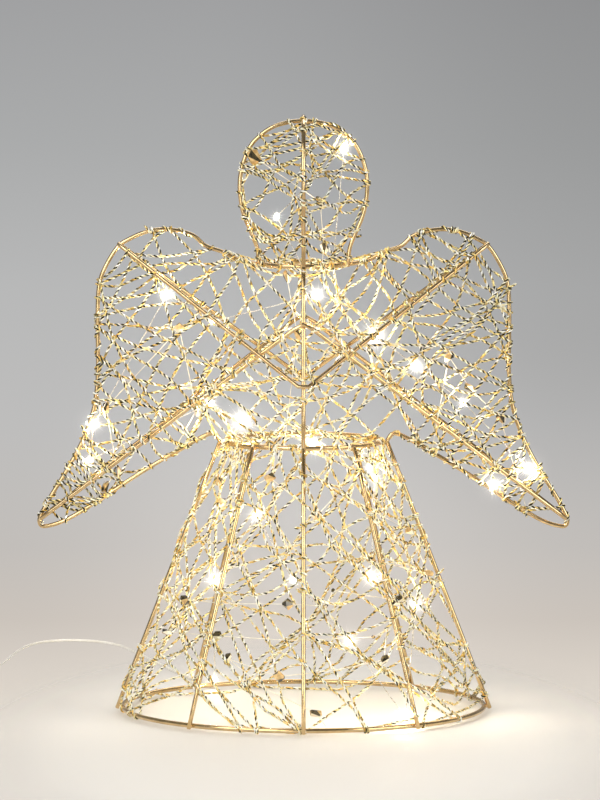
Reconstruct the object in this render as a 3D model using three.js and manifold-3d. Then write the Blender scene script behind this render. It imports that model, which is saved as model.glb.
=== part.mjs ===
// Lighted angel figurine: a welded wire figure wound with glitter thread, faceted beads and a string
// of small lights, fed by a thin lead from a battery box that lies beside it.
// Millimetres, +Z up. The figure looks along -Y, and a turn is counted from its front towards +X.

import * as THREE from "three";
import { mergeVertices } from "three/addons/utils/BufferGeometryUtils.js";
import Module from "manifold-3d";

const wasm = await Module();
wasm.setup();

// Wires, threads and the gap that touching pieces keep
const clearance = 0.3;
const overrun = 2;
const ringWireRadius = 1.5;
const frameWireRadius = 1.3;
const threadRadius = 0.8;
const beadThreadRadius = 0.4;
const lightWireRadius = 0.4;
const ringSectionSides = 8;
const wireSides = 6;
const threadSides = 5;
const fineSides = 4;

// The three rings that the figure is built on
const baseRingRadius = 121;
const baseRingHeight = 3.8;
const waistRingRadius = 52.3;
const waistRingHeight = 182;
const neckRingRadius = 26.5;
const neckRingHeight = 300.4;

// Skirt struts: turns from the front, in degrees, the same to the left and to the right
const skirtStrutTurns = [0, 37, 90, 143, 180, 217, 270, 323];

// Head: two arches from the neck ring, their outline as shares of the head's half width and height
const headHalfWidth = 42.5;
const headHeight = 95.4;
const headOutlineShares = [
  [0.70, 0.0], [0.725, 0.11], [0.82, 0.22], [0.915, 0.32], [0.965, 0.4], [1.0, 0.56],
  [0.95, 0.7], [0.82, 0.83], [0.71, 0.885], [0.5, 0.953], [0.26, 0.988],
];

// Wings: reach from the middle, top and tip heights, outline as shares of the reach and of that rise
const wingReach = 177;
const wingTopHeight = 323.5;
const wingTipHeight = 125;
const wingUpperShares = [
  [0.239, 0.895], [0.303, 0.924], [0.368, 0.945], [0.417, 0.981], [0.511, 1.0], [0.588, 0.993],
  [0.655, 0.968], [0.691, 0.948], [0.735, 0.892], [0.766, 0.828], [0.775, 0.745], [0.775, 0.525],
  [0.781, 0.451], [0.793, 0.39], [0.836, 0.284], [0.905, 0.171], [0.964, 0.085],
];
const wingTipShares = [[0.998, 0.018], [0.99, 0.0]];
const wingLowerShares = [[0.966, 0.0], [0.905, 0.017], [0.788, 0.078], [0.644, 0.163], [0.486, 0.248]];

// Ridge wires in front of and behind the body: where each crosses the middle, and the wing's corner
const lowRidgeHeight = 220;
const highRidgeHeight = 264.5;
const ridgeLap = 1.5;
const wingCornerShare = [0.691, 0.948];
const wingEndShare = [0.985, 0.03];

// Glitter thread
const skirtLeanPasses = 4;
const skirtThreadDip = 9;
const skirtThreadLift = 1.1;
const torsoLoops = 12;
const torsoLeanLoops = 2.5;
const torsoEndGap = 5;
const torsoLayerGap = 1;
const wingLoops = 13;
const wingLeanShare = 0.13;
const headLoops = 11;
const headTiltShare = 0.05;

// Lights and beads
const lightRadius = 1.6;
const lightHalfLength = 2.4;
const lightBodyHalfLength = 1.1;
const beadRadius = 3;
const beadHalfLength = 3.2;
const smallBeadRadius = 1.3;
const smallBeadHalfLength = 1.3;

// Junction sleeve at the back of the base ring, and the lead that leaves it
const sleeveTurn = -150;
const sleeveRadius = 2.2;
const sleeveLength = 16;
const sleeveHeight = 2.5;
const sleeveHeading = new THREE.Vector3(-0.29, 0.957, 0);
const leadRadius = 1;
const leadSides = 8;

// Battery box
const cellRadius = 7.1;
const cellLength = 50.2;
const cellNubRadius = 2.7;
const cellNubLength = 1.2;
const cellPitch = 14.8;
const cellCount = 3;
const boxWall = 2.4;
const boxFloor = 2;
const boxEndWall = 2;
const boxPartition = 1.6;
const boxCompartment = 9;
const boxDeck = 1.8;
const coverThickness = 1.6;
const coverLip = 0.8;
const coverTongue = 1.1;
const gripHeight = 0.9;
const gripDepth = 1.6;
const gripCount = 4;
const gripPitch = 3.2;
const plateThickness = 0.5;
const plateWidth = 11;
const plateHeight = 11;
const springLength = 5;
const springWideRadius = 3.4;
const springNarrowRadius = 2;
const boardLength = 30;
const boardWidth = 7;
const boardThickness = 1.2;
const chipLength = 6;
const chipWidth = 4;
const chipHeight = 1.6;
const switchLength = 11;
const switchWidth = 5.4;
const switchHeight = 5;
const knobLength = 3.4;
const knobWidth = 2.6;
const knobRise = 1.8;
const knobTravel = 4;
const grommetRadius = 2.3;
const grommetFlangeRadius = 3.6;
const grommetFlange = 1.6;
const grommetHeight = 5;
const boxMouth = new THREE.Vector3(-243, 168, grommetHeight);

// Colours of the real pieces
const champagneWire = new THREE.MeshStandardMaterial({ color: 0xc9a765, roughness: 0.35, metalness: 0.9 });
const glitterThread = new THREE.MeshStandardMaterial({ color: 0xdcc58a, roughness: 0.4, metalness: 0.6 });
const smokyCrystal = new THREE.MeshStandardMaterial({ color: 0x7d6748, roughness: 0.1, metalness: 0.1 });
const warmLight = new THREE.MeshStandardMaterial({ color: 0xfff1cf, roughness: 0.3, metalness: 0 });
const clearSleeve = new THREE.MeshStandardMaterial({ color: 0xe9e7df, roughness: 0.4, metalness: 0 });
const whitePlastic = new THREE.MeshStandardMaterial({ color: 0xeeece6, roughness: 0.5, metalness: 0 });
const cellSleeve = new THREE.MeshStandardMaterial({ color: 0x5b6b60, roughness: 0.4, metalness: 0.2 });
const platedSteel = new THREE.MeshStandardMaterial({ color: 0xc6c7c4, roughness: 0.3, metalness: 0.9 });
const greenBoard = new THREE.MeshStandardMaterial({ color: 0x2c6a45, roughness: 0.6, metalness: 0 });
const darkPlastic = new THREE.MeshStandardMaterial({ color: 0x2b2b2b, roughness: 0.6, metalness: 0 });

const angel = new THREE.Group();

function addMesh(name, geometry, material) {
  const mesh = new THREE.Mesh(geometry, material);
  mesh.name = name;
  angel.add(mesh);
  return mesh;
}

function radians(degrees) {
  return THREE.MathUtils.degToRad(degrees);
}

function mix(from, to, share) {
  return from + (to - from) * share;
}

// A point at a radius from the figure's axis, a turn from its front and a height
function polar(radius, turn, height) {
  return new THREE.Vector3(radius * Math.sin(turn), -radius * Math.cos(turn), height);
}

// A round wire along straight runs: its section is carried on to each bend's mitre plane. The radius
// may change from point to point, and either end can be cut along a plane of its own.
function sweep(points, radii, sides, startNormal, endNormal) {
  const radiusAt = (i) => (Array.isArray(radii) ? radii[i] : radii);
  const runs = points.slice(1).map((point, i) => point.clone().sub(points[i]).normalize());
  const last = runs.length - 1;
  const away = Math.abs(runs[0].z) < 0.9 ? new THREE.Vector3(0, 0, 1) : new THREE.Vector3(1, 0, 0);
  const across = away.cross(runs[0]).normalize();
  const upward = runs[0].clone().cross(across);
  let spokes = Array.from({ length: sides }, (_, k) => {
    const angle = (2 * Math.PI * (k + 0.5)) / sides;
    return across.clone().multiplyScalar(Math.cos(angle)).addScaledVector(upward, Math.sin(angle));
  });
  const positions = [];
  points.forEach((point, i) => {
    const before = runs[Math.max(i - 1, 0)];
    const after = runs[Math.min(i, last)];
    let normal = before.clone().add(after).normalize();
    if (i === 0 && startNormal) normal = startNormal;
    if (i === points.length - 1 && endNormal) normal = endNormal;
    const mitred = spokes.map((spoke) =>
      spoke.clone().addScaledVector(before, -spoke.dot(normal) / before.dot(normal)));
    mitred.forEach((spoke) => positions.push(...point.clone().addScaledVector(spoke, radiusAt(i))));
    spokes = mitred.map((spoke) => spoke.addScaledVector(after, -spoke.dot(after)).normalize());
  });
  const faces = [];
  for (let i = 0; i <= last; i += 1) {
    for (let k = 0; k < sides; k += 1) {
      const a = i * sides + k;
      const b = i * sides + ((k + 1) % sides);
      faces.push(a, b, b + sides, a, b + sides, a + sides);
    }
  }
  const end = (last + 1) * sides;
  for (let k = 1; k < sides - 1; k += 1) {
    faces.push(0, k + 1, k);
    faces.push(end, end + k, end + k + 1);
  }
  const geometry = new THREE.BufferGeometry();
  geometry.setAttribute("position", new THREE.Float32BufferAttribute(positions, 3));
  geometry.setIndex(faces);
  geometry.computeVertexNormals();
  return geometry;
}

// The least gap between far stretches of one wound thread, measured between points along it
function leastGapToItself(points, radius) {
  const samples = [];
  const step = radius;
  let travelled = 0;
  points.slice(1).forEach((point, i) => {
    const length = point.distanceTo(points[i]);
    const count = Math.max(1, Math.round(length / step));
    for (let k = 0; k < count; k += 1) {
      samples.push({ at: points[i].clone().lerp(point, k / count), along: travelled + (length * k) / count });
    }
    travelled += length;
  });
  let least = Infinity;
  for (let i = 0; i < samples.length; i += 1) {
    for (let j = i + 1; j < samples.length; j += 1) {
      if (samples[j].along - samples[i].along > radius * 8) {
        least = Math.min(least, samples[i].at.distanceToSquared(samples[j].at));
      }
    }
  }
  return Math.sqrt(least) - 2 * radius;
}

// Booleans on closed geometry
function toSolid(geometry) {
  const bare = geometry.clone();
  bare.deleteAttribute("normal");
  bare.deleteAttribute("uv");
  const merged = mergeVertices(bare, 1e-4);
  return new wasm.Manifold(new wasm.Mesh({
    numProp: 3,
    vertProperties: new Float32Array(merged.attributes.position.array),
    triVerts: new Uint32Array(merged.index.array),
  }));
}

function toGeometry(solid) {
  const mesh = solid.getMesh();
  const geometry = new THREE.BufferGeometry();
  geometry.setAttribute("position", new THREE.BufferAttribute(mesh.vertProperties, 3));
  geometry.setIndex(new THREE.BufferAttribute(mesh.triVerts, 1));
  geometry.computeVertexNormals();
  return geometry;
}

function cut(body, ...tools) {
  return toGeometry(tools.reduce((left, tool) => left.subtract(toSolid(tool)), toSolid(body)));
}

function join(...pieces) {
  const [first, ...others] = pieces.map(toSolid);
  return toGeometry(others.reduce((whole, piece) => whole.add(piece), first));
}

// A box given by its two opposite corners
function block(low, high) {
  const size = high.clone().sub(low);
  const middle = low.clone().add(high).multiplyScalar(0.5);
  return new THREE.BoxGeometry(size.x, size.y, size.z).translate(middle.x, middle.y, middle.z);
}

// Rings: round wire bent to a circle, with a flat of its eight-sided section facing down
const ringSteps = { base_ring: 56, waist_ring: 40, neck_ring: 28 };

function ring(name, radius, height) {
  const section = Array.from({ length: ringSectionSides + 1 }, (_, k) => {
    const angle = (2 * Math.PI * (k + 0.5)) / ringSectionSides;
    return new THREE.Vector2(
      radius + ringWireRadius * Math.cos(angle), ringWireRadius * Math.sin(angle));
  });
  const geometry = new THREE.LatheGeometry(section, ringSteps[name]);
  geometry.rotateX(Math.PI / 2).translate(0, 0, height);
  addMesh(name, geometry, champagneWire);
}

ring("base_ring", baseRingRadius, baseRingHeight);
ring("waist_ring", waistRingRadius, waistRingHeight);
ring("neck_ring", neckRingRadius, neckRingHeight);

// Struts lie against the outside of the rings, so their axes stand off by this much square to them
const strutSeat = ringWireRadius + clearance + frameWireRadius;
const skirtSlope = (baseRingRadius - waistRingRadius) / (waistRingHeight - baseRingHeight);
const torsoSlope = (waistRingRadius - neckRingRadius) / (neckRingHeight - waistRingHeight);
const skirtStandOff = strutSeat * Math.hypot(1, skirtSlope);
const torsoStandOff = strutSeat * Math.hypot(1, torsoSlope);
const up = new THREE.Vector3(0, 0, 1);

function skirtRadius(height) {
  return waistRingRadius + skirtStandOff + (waistRingHeight - height) * skirtSlope;
}

function torsoRadius(height) {
  return neckRingRadius + torsoStandOff + (neckRingHeight - height) * torsoSlope;
}

// Skirt struts stand on the floor on level-cut feet and end at the waist ring
const skirtStrutNames = [
  "front", "front_right", "right", "rear_right", "rear", "rear_left", "left", "front_left",
];
const waistJoint = waistRingHeight - clearance / 2;

skirtStrutTurns.forEach((degrees, i) => {
  const turn = radians(degrees);
  const foot = polar(skirtRadius(0), turn, 0);
  const top = polar(skirtRadius(waistJoint), turn, waistJoint);
  const strut = sweep([foot, top], frameWireRadius, wireSides, up, up);
  addMesh(`skirt_strut_${skirtStrutNames[i]}`, strut, champagneWire);
});

// Torso struts carry on from the front and rear skirt struts to the neck ring
const torsoFoot = waistRingHeight + clearance / 2;
const neckJoint = neckRingHeight - clearance / 2;

[["torso_strut_front", 0], ["torso_strut_rear", Math.PI]].forEach(([name, turn]) => {
  const foot = polar(torsoRadius(torsoFoot), turn, torsoFoot);
  const top = polar(torsoRadius(neckJoint), turn, neckJoint);
  addMesh(name, sweep([foot, top], frameWireRadius, wireSides, up, up), champagneWire);
});

// Head arches: the outline is one smooth curve up one side and down the other. The one that runs
// from front to rear passes over the other at the top.
const archSteps = 40;
const archPass = 2 * frameWireRadius + clearance;

function archProfile(lift) {
  return headOutlineShares.map(([widthShare, heightShare]) => new THREE.Vector2(
    widthShare * headHalfWidth, neckRingHeight + heightShare * (headHeight + lift)));
}

function headArch(name, turn, footHeight, lift) {
  const side = archProfile(lift);
  const top = new THREE.Vector2(0, neckRingHeight + headHeight + lift);
  const foot = new THREE.Vector2(neckRingRadius + strutSeat, footHeight);
  const half = [foot, ...side.slice(1)];
  const rising = half.map((point) => polar(point.x, turn, point.y));
  const falling = half.map((point) => polar(-point.x, turn, point.y)).reverse();
  const places = [...rising, polar(0, turn, top.y), ...falling];
  const curve = new THREE.CatmullRomCurve3(places, false, "centripetal");
  addMesh(name, sweep(curve.getSpacedPoints(archSteps), frameWireRadius, wireSides, up, up), champagneWire);
}

headArch("head_arch_side_to_side", Math.PI / 2, neckRingHeight - ringWireRadius, 0);
headArch("head_arch_front_to_rear", 0, neckRingHeight + clearance / 2, archPass);

// Wing outlines: one bent wire each, from the neck ring round the wing to the waist ring
const wingRise = wingTopHeight - wingTipHeight;
const wingRootX = neckRingRadius + strutSeat + frameWireRadius + 1.5 * clearance;
const wingWaistX = waistRingRadius + skirtStandOff + clearance;
const wingHeelReach = 4;
const wingHeelRise = 5;
const outlineStepsPerShare = 2;

function wingPoint(side, [reachShare, riseShare], depth = 0) {
  return new THREE.Vector3(
    side * reachShare * wingReach, depth, wingTipHeight + riseShare * wingRise);
}

// The lower edge turns down to end on top of the side strut, at the waist ring
function wingHeel(side) {
  return [
    new THREE.Vector3(side * (wingWaistX + wingHeelReach), 0, waistRingHeight + wingHeelRise),
    new THREE.Vector3(side * wingWaistX, 0, waistRingHeight + clearance),
  ];
}

function wingOutline(side) {
  const root = new THREE.Vector3(side * wingRootX, 0, neckRingHeight);
  const shares = [...wingUpperShares, ...wingTipShares, ...wingLowerShares];
  const curve = new THREE.CatmullRomCurve3(
    [root, ...shares.map((share) => wingPoint(side, share)), ...wingHeel(side)], false, "centripetal");
  const steps = outlineStepsPerShare * (shares.length + 2);
  return sweep(curve.getPoints(steps), frameWireRadius, wireSides, new THREE.Vector3(side, 0, 0), up);
}

addMesh("wing_outline_left", wingOutline(-1), champagneWire);
addMesh("wing_outline_right", wingOutline(1), champagneWire);

// Ridge wires: bent once at the middle, where they lie on the torso strut, and lapped on the outlines
const ridgeLie = 2 * frameWireRadius + clearance;
const ridgeBendReach = 2;
const ridgeBow = 0.8;
const lowRidgeDepth = torsoRadius(lowRidgeHeight) + ridgeLie + ridgeBow;
const highRidgeDepth = torsoRadius(highRidgeHeight) + ridgeLie + ridgeBow;

function ridgeLine(side, face, middleHeight, middleDepth, outerShare) {
  const middle = new THREE.Vector3(0, face * middleDepth, middleHeight);
  const outer = wingPoint(side, outerShare, face * ridgeLie);
  return new THREE.Line3(middle, outer);
}

function ridge(name, face, middleHeight, middleDepth, outerShare) {
  const [left, right] = [-1, 1].map((side) => ridgeLine(side, face, middleHeight, middleDepth, outerShare));
  const lapped = [left, right].map((line) => {
    const heading = line.delta(new THREE.Vector3()).normalize();
    return line.end.clone().addScaledVector(heading, ridgeLap);
  });
  const bend = ridgeBendReach / left.distance();
  const points = [
    lapped[0], left.at(bend, new THREE.Vector3()), right.at(bend, new THREE.Vector3()), lapped[1]];
  addMesh(name, sweep(points, frameWireRadius, wireSides), champagneWire);
}

[["front", -1], ["rear", 1]].forEach(([word, face]) => {
  ridge(`ridge_low_${word}`, face, lowRidgeHeight, lowRidgeDepth, wingCornerShare);
  ridge(`ridge_high_${word}`, face, highRidgeHeight, highRidgeDepth, wingEndShare);
});

// Winding helpers: a thread rounds a wire on points of a circle whose chords just clear the wire
const frameWrap = frameWireRadius + clearance + threadRadius;
const ringWrap = (ringWireRadius + clearance + threadRadius) / Math.cos(radians(30));

function ringWrapPoint(radius, height, turn, degrees) {
  const angle = radians(degrees);
  return polar(radius + ringWrap * Math.cos(angle), turn, height + ringWrap * Math.sin(angle));
}

function addWinding(name, points) {
  const gap = leastGapToItself(points, threadRadius);
  console.log(`${name}: least gap to itself ${gap.toFixed(2)} mm`);
  addMesh(name, sweep(points, threadRadius, threadSides), glitterThread);
}

// Skirt thread: two passes over each ring between neighbouring struts. It comes down outside the
// struts leaning one way, passes under the base ring, and climbs back inside them the other way.
const passesPerGap = 2;
const skirtPasses = passesPerGap * skirtStrutTurns.length;
const downSteps = 8;
const climbSteps = 4;

function skirtPassTurn(index) {
  const lap = Math.floor(index / skirtPasses);
  const within = index - lap * skirtPasses;
  const gap = Math.floor(within / passesPerGap);
  const start = skirtStrutTurns[gap];
  const end = gap + 1 < skirtStrutTurns.length ? skirtStrutTurns[gap + 1] : 360;
  const share = (within - gap * passesPerGap + 1) / (passesPerGap + 1);
  return radians(mix(start, end, share) + 360 * lap);
}

function skirtTurn(place) {
  const low = Math.floor(place);
  return mix(skirtPassTurn(low), skirtPassTurn(low + 1), place - low);
}

const skirtThread = [];
const waistWrapDegrees = [210, 150, 90, 30];
const baseWrapDegrees = [30, -30, -90, -150];
const outerLie = frameWrap * Math.hypot(1, skirtSlope) + skirtThreadLift;
const innerLie = ringWireRadius + 2 * threadRadius;
for (let pass = 0; pass < skirtPasses; pass += 1) {
  const topTurn = skirtTurn(pass);
  const footTurn = skirtTurn(pass + skirtLeanPasses);
  skirtThread.push(...waistWrapDegrees.map((degrees) =>
    ringWrapPoint(waistRingRadius, waistRingHeight, topTurn, degrees)));
  for (let step = 1; step < downSteps; step += 1) {
    const share = step / downSteps;
    const height = mix(waistRingHeight, baseRingHeight, share);
    const turn = skirtTurn(pass + skirtLeanPasses * share);
    skirtThread.push(polar(skirtRadius(height) + outerLie, turn, height));
  }
  skirtThread.push(...baseWrapDegrees.map((degrees) =>
    ringWrapPoint(baseRingRadius, baseRingHeight, footTurn, degrees)));
  for (let step = 1; step < climbSteps; step += 1) {
    const share = step / climbSteps;
    const height = mix(baseRingHeight, waistRingHeight, share);
    const radius = mix(baseRingRadius, waistRingRadius, share) - innerLie;
    skirtThread.push(polar(radius - skirtThreadDip * Math.sin(Math.PI * share),
      skirtTurn(pass + mix(skirtLeanPasses, 1, share)), height));
  }
}
addWinding("skirt_thread", skirtThread);

// Torso thread: a zigzag inside the torso struts, turning back just short of each ring
const torsoOuterLie = frameWrap + clearance;
const torsoInnerLie = torsoOuterLie + 2 * threadRadius + torsoLayerGap;
const torsoLow = waistRingHeight + torsoEndGap;
const torsoHigh = neckRingHeight - torsoEndGap;
const torsoSteps = 4;
const torsoThread = [];
const torsoStep = (2 * Math.PI) / torsoLoops;

function torsoRun(from, to, lie, low, high) {
  for (let step = 0; step <= torsoSteps; step += 1) {
    const share = step / torsoSteps;
    const height = mix(low, high, share);
    torsoThread.push(polar(torsoRadius(height) - lie, mix(from, to, share) * torsoStep, height));
  }
}

for (let loop = 0; loop < torsoLoops; loop += 1) {
  torsoRun(loop, loop + torsoLeanLoops, torsoOuterLie, torsoLow, torsoHigh);
  torsoRun(loop + torsoLeanLoops, loop + 1, torsoInnerLie, torsoHigh, torsoLow);
}
addWinding("torso_thread", torsoThread);

// Wing threads: loops from the upper edge over both ridges to the lower edge, back behind them
const upperRunStartShare = 0.02;
const cornerRunShare = 0.34;
const ridgeStartShare = 0.3;
const ridgeEndShare = 0.95;
const highRidgeEndShare = 0.84;
const lowerRunShares = [0.97, 0.2];
const edgeWrap = frameWrap / Math.cos(radians(30));
const edgeDegrees = [60, 0, -60];
const ridgeCross = frameWrap + ridgeBow;

function wingWinding(side) {
  const upperCurve = new THREE.CatmullRomCurve3(
    wingUpperShares.map((share) => wingPoint(side, share)), false, "centripetal");
  const lowerCurve = new THREE.CatmullRomCurve3(
    [...wingLowerShares.map((share) => wingPoint(side, share)), wingHeel(side)[0]], false, "centripetal");

  function edgeRound(curve, share, outward, face) {
    const middle = curve.getPointAt(share);
    const along = curve.getTangentAt(share);
    const out = new THREE.Vector3(-along.z, 0, along.x).multiplyScalar(outward);
    return edgeDegrees.map((degrees) => middle.clone()
      .addScaledVector(out, edgeWrap * Math.cos(radians(degrees)))
      .add(new THREE.Vector3(0, face * edgeWrap * Math.sin(radians(degrees)), 0)));
  }

  function overRidge(line, share, face) {
    return line.at(share, new THREE.Vector3()).add(new THREE.Vector3(0, face * ridgeCross, 0));
  }

  function faceRun(upperPlace, lowerPlace, face) {
    const low = ridgeLine(side, face, lowRidgeHeight, lowRidgeDepth, wingCornerShare);
    const high = ridgeLine(side, face, highRidgeHeight, highRidgeDepth, wingEndShare);
    const highShare = mix(ridgeStartShare * 0.8, highRidgeEndShare, mix(upperPlace, lowerPlace, 0.66));
    const points = [];
    if (upperPlace < cornerRunShare) {
      const lowShare = mix(ridgeStartShare, 1, mix(upperPlace, lowerPlace, 0.33) / cornerRunShare);
      points.push(overRidge(low, Math.min(lowShare, ridgeEndShare), face));
    }
    points.push(overRidge(high, highShare, face));
    return points;
  }

  const points = [];
  const pitch = (1 - wingLeanShare) / wingLoops;
  for (let loop = 0; loop < wingLoops; loop += 1) {
    const place = upperRunStartShare + loop * pitch;
    const lowerPlace = place + wingLeanShare;
    const nextPlace = place + pitch;
    const lowerShare = mix(lowerRunShares[0], lowerRunShares[1], lowerPlace);
    points.push(...edgeRound(upperCurve, place, side, 1));
    points.push(...faceRun(place, lowerPlace, -1));
    points.push(...edgeRound(lowerCurve, lowerShare, side, -1));
    if (loop < wingLoops - 1) {
      points.push(...faceRun(nextPlace, lowerPlace, 1).reverse());
    }
  }
  return points;
}

addWinding("wing_thread_left", wingWinding(-1));
addWinding("wing_thread_right", wingWinding(1));

// Head threads: one spiral over the four sides of the two arches, tilted sideways. It is wound
// from four lengths, one above the other, and each ends at the leg where the next one starts.
const headThreadLowShare = 0.1;
const headThreadHighShare = 0.8;
const headSides = 4;
const headLengths = 4;

function headSidePoints(turn, share, lift) {
  const curve = new THREE.SplineCurve(archProfile(lift));
  const at = curve.getPointAt(share);
  const along = curve.getTangentAt(share);
  const middle = polar(at.x, turn, at.y);
  const out = polar(along.y, turn, -along.x);
  const forward = polar(1, turn + Math.PI / 2, 0);
  const reach = frameWrap / Math.cos(radians(22.5));
  return [-22.5, 22.5].map((degrees) => middle.clone()
    .addScaledVector(out, reach * Math.cos(radians(degrees)))
    .addScaledVector(forward, reach * Math.sin(radians(degrees))));
}

const headCorners = headLoops * headSides;
const lengthCorners = headCorners / headLengths;
for (let length = 0; length < headLengths; length += 1) {
  const points = [];
  for (let corner = length * lengthCorners; corner <= (length + 1) * lengthCorners; corner += 1) {
    const turn = (corner * Math.PI) / 2;
    const rise = mix(headThreadLowShare, headThreadHighShare, corner / headCorners);
    const share = rise + headTiltShare * Math.sin(turn);
    points.push(...headSidePoints(turn, share, corner % 2 === 0 ? archPass : 0));
  }
  addWinding(`head_thread_${length + 1}`, points.slice(1, -1));
}

// Fine wires run straight from place to place and swell there to a light drop or a faceted bead
const swellings = {
  light: [[-lightHalfLength, 0], [-lightBodyHalfLength, lightRadius],
    [lightBodyHalfLength, lightRadius], [lightHalfLength, 0]],
  bead: [[-beadHalfLength, 0], [0, beadRadius], [beadHalfLength, 0]],
  smallBead: [[-smallBeadHalfLength, 0], [0, smallBeadRadius], [smallBeadHalfLength, 0]],
  through: [[0, 0]],
};

function strand(name, places, wireRadius, material) {
  const points = [];
  const radii = [];
  places.forEach(([kind, at], i) => {
    const before = places[Math.max(i - 1, 0)][1];
    const after = places[Math.min(i + 1, places.length - 1)][1];
    const heading = after.clone().sub(before).normalize();
    swellings[kind].forEach(([along, radius]) => {
      points.push(at.clone().addScaledVector(heading, along));
      radii.push(Math.max(radius, wireRadius));
    });
  });
  addMesh(name, sweep(points, radii, fineSides), material);
}

// Places: inside the climbing skirt thread, between it and the struts, and inside torso, wing and head
const lightInset = threadRadius + clearance + lightRadius + 0.5 * threadRadius;
const beadInset = frameWireRadius + clearance + beadRadius + 0.5 * threadRadius;

function skirtHeight(riseShare) {
  return mix(baseRingHeight, waistRingHeight, riseShare);
}

function inSkirt(degrees, riseShare) {
  const climbing = mix(baseRingRadius, waistRingRadius, riseShare) - innerLie;
  const radius = climbing - skirtThreadDip * Math.sin(Math.PI * riseShare) - lightInset;
  return polar(radius, radians(degrees), skirtHeight(riseShare));
}

function betweenSkirtLayers(degrees, riseShare) {
  const height = skirtHeight(riseShare);
  return polar(skirtRadius(height) - beadInset, radians(degrees), height);
}

function inTorso(degrees, riseShare, inset = lightInset) {
  const height = mix(waistRingHeight, neckRingHeight, riseShare);
  return polar(torsoRadius(height) - torsoInnerLie - inset, radians(degrees), height);
}

function inWing(side, reachShare, riseShare, depthShare = 0.12) {
  return wingPoint(side, [reachShare, riseShare], -depthShare * highRidgeDepth * (1 - reachShare));
}

function inHead(widthShare, depthShare, riseShare) {
  return new THREE.Vector3(widthShare * headHalfWidth, depthShare * headHalfWidth,
    neckRingHeight + riseShare * headHeight);
}

// Junction sleeve: a round plastic sleeve on the floor against the outside of the base ring
const sleeveStart = polar(baseRingRadius + ringWireRadius + 3 * clearance, radians(sleeveTurn),
  sleeveHeight);
const sleeveAxis = sleeveHeading.clone().normalize();
const sleeveEnd = sleeveStart.clone().addScaledVector(sleeveAxis, sleeveLength);
const sleeveSides = 12;
addMesh("junction_sleeve", sweep([sleeveStart, sleeveEnd], sleeveRadius, sleeveSides), clearSleeve);

// Light string: from the sleeve over the base ring, up the skirt, round both wings and the head
const onSleeve = sleeveRadius + clearance + lightWireRadius;
const overRing = ringWireRadius + clearance + 2 * lightWireRadius;
const lightString = [
  ["through", sleeveStart.clone().addScaledVector(sleeveAxis, sleeveLength / 2)
    .addScaledVector(up, onSleeve)],
  ["through", sleeveStart.clone().addScaledVector(sleeveAxis, sleeveRadius).addScaledVector(up, onSleeve)],
  ["through", polar(baseRingRadius, radians(sleeveTurn), baseRingHeight + overRing)],
  ["light", inSkirt(-147, 0.03)],
  ["light", inSkirt(-55, 0.5)],
  ["light", inSkirt(-33, 0.75)],
  ["light", inSkirt(-5.6, 0.52)],
  ["light", inSkirt(20.4, 0.3)],
  ["light", inSkirt(36.5, 0.03)],
  ["light", inSkirt(72, 0.4)],
  ["light", inSkirt(39.5, 0.52)],
  ["light", inSkirt(67, 0.87)],
  ["light", inSkirt(119, 0.885)],
  ["through", inSkirt(62, 0.965)],
  ["light", inTorso(7, 0.02)],
  ["light", inTorso(-70, 0.125)],
  ["light", inWing(-1, 0.35, 0.416)],
  ["light", inWing(-1, 0.808, 0.223)],
  ["light", inWing(-1, 0.765, 0.345)],
  ["light", inWing(-1, 0.513, 0.783)],
  ["light", inWing(-1, 0.338, 0.692)],
  ["light", inTorso(21, 0.84)],
  ["light", inHead(-0.42, -0.38, 0.34)],
  ["light", inHead(0.635, -0.05, 0.81)],
  ["through", inTorso(67, 1)],
  ["through", inTorso(70, 0.88)],
  ["light", inWing(1, 0.271, 0.642)],
  ["light", inWing(1, 0.426, 0.541)],
  ["light", inWing(1, 0.601, 0.419)],
  ["light", inWing(1, 0.83, 0.21)],
  ["light", inWing(1, 0.71, 0.165)],
];
strand("light_string", lightString, lightWireRadius, warmLight);

// Bead strands: each starts and ends against a frame wire
const beadSeat = clearance + 2 * beadThreadRadius;
strand("bead_strand_skirt", [
  ["through", polar(waistRingRadius, radians(-66), waistRingHeight - ringWireRadius - beadSeat)],
  ["bead", betweenSkirtLayers(-72, 0.865)],
  ["bead", betweenSkirtLayers(-57, 0.789)],
  ["bead", betweenSkirtLayers(-22.5, 0.892)],
  ["bead", betweenSkirtLayers(7.6, 0.759)],
  ["smallBead", betweenSkirtLayers(19.4, 0.825)],
  ["through", betweenSkirtLayers(48, 0.75)],
  ["bead", betweenSkirtLayers(75, 0.674)],
  ["bead", betweenSkirtLayers(81, 0.509)],
  ["bead", betweenSkirtLayers(34.5, 0.591)],
  ["bead", betweenSkirtLayers(44, 0.442)],
  ["smallBead", betweenSkirtLayers(13, 0.492)],
  ["smallBead", betweenSkirtLayers(9.5, 0.437)],
  ["bead", betweenSkirtLayers(-6.6, 0.444)],
  ["through", betweenSkirtLayers(-34, 0.436)],
  ["bead", betweenSkirtLayers(-61, 0.429)],
  ["bead", betweenSkirtLayers(-68, 0.305)],
  ["bead", betweenSkirtLayers(-36, 0.32)],
  ["through", betweenSkirtLayers(-4, 0.315)],
  ["smallBead", betweenSkirtLayers(28, 0.321)],
  ["smallBead", betweenSkirtLayers(34.5, 0.342)],
  ["bead", betweenSkirtLayers(31, 0.238)],
  ["through", betweenSkirtLayers(12, 0.21)],
  ["bead", betweenSkirtLayers(-8.7, 0.188)],
  ["bead", betweenSkirtLayers(-29, 0.243)],
  ["through", betweenSkirtLayers(-12, 0.14)],
  ["bead", betweenSkirtLayers(4, 0.06)],
  ["through", polar(baseRingRadius, radians(7), baseRingHeight + ringWireRadius + beadSeat)],
], beadThreadRadius, smokyCrystal);

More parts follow.
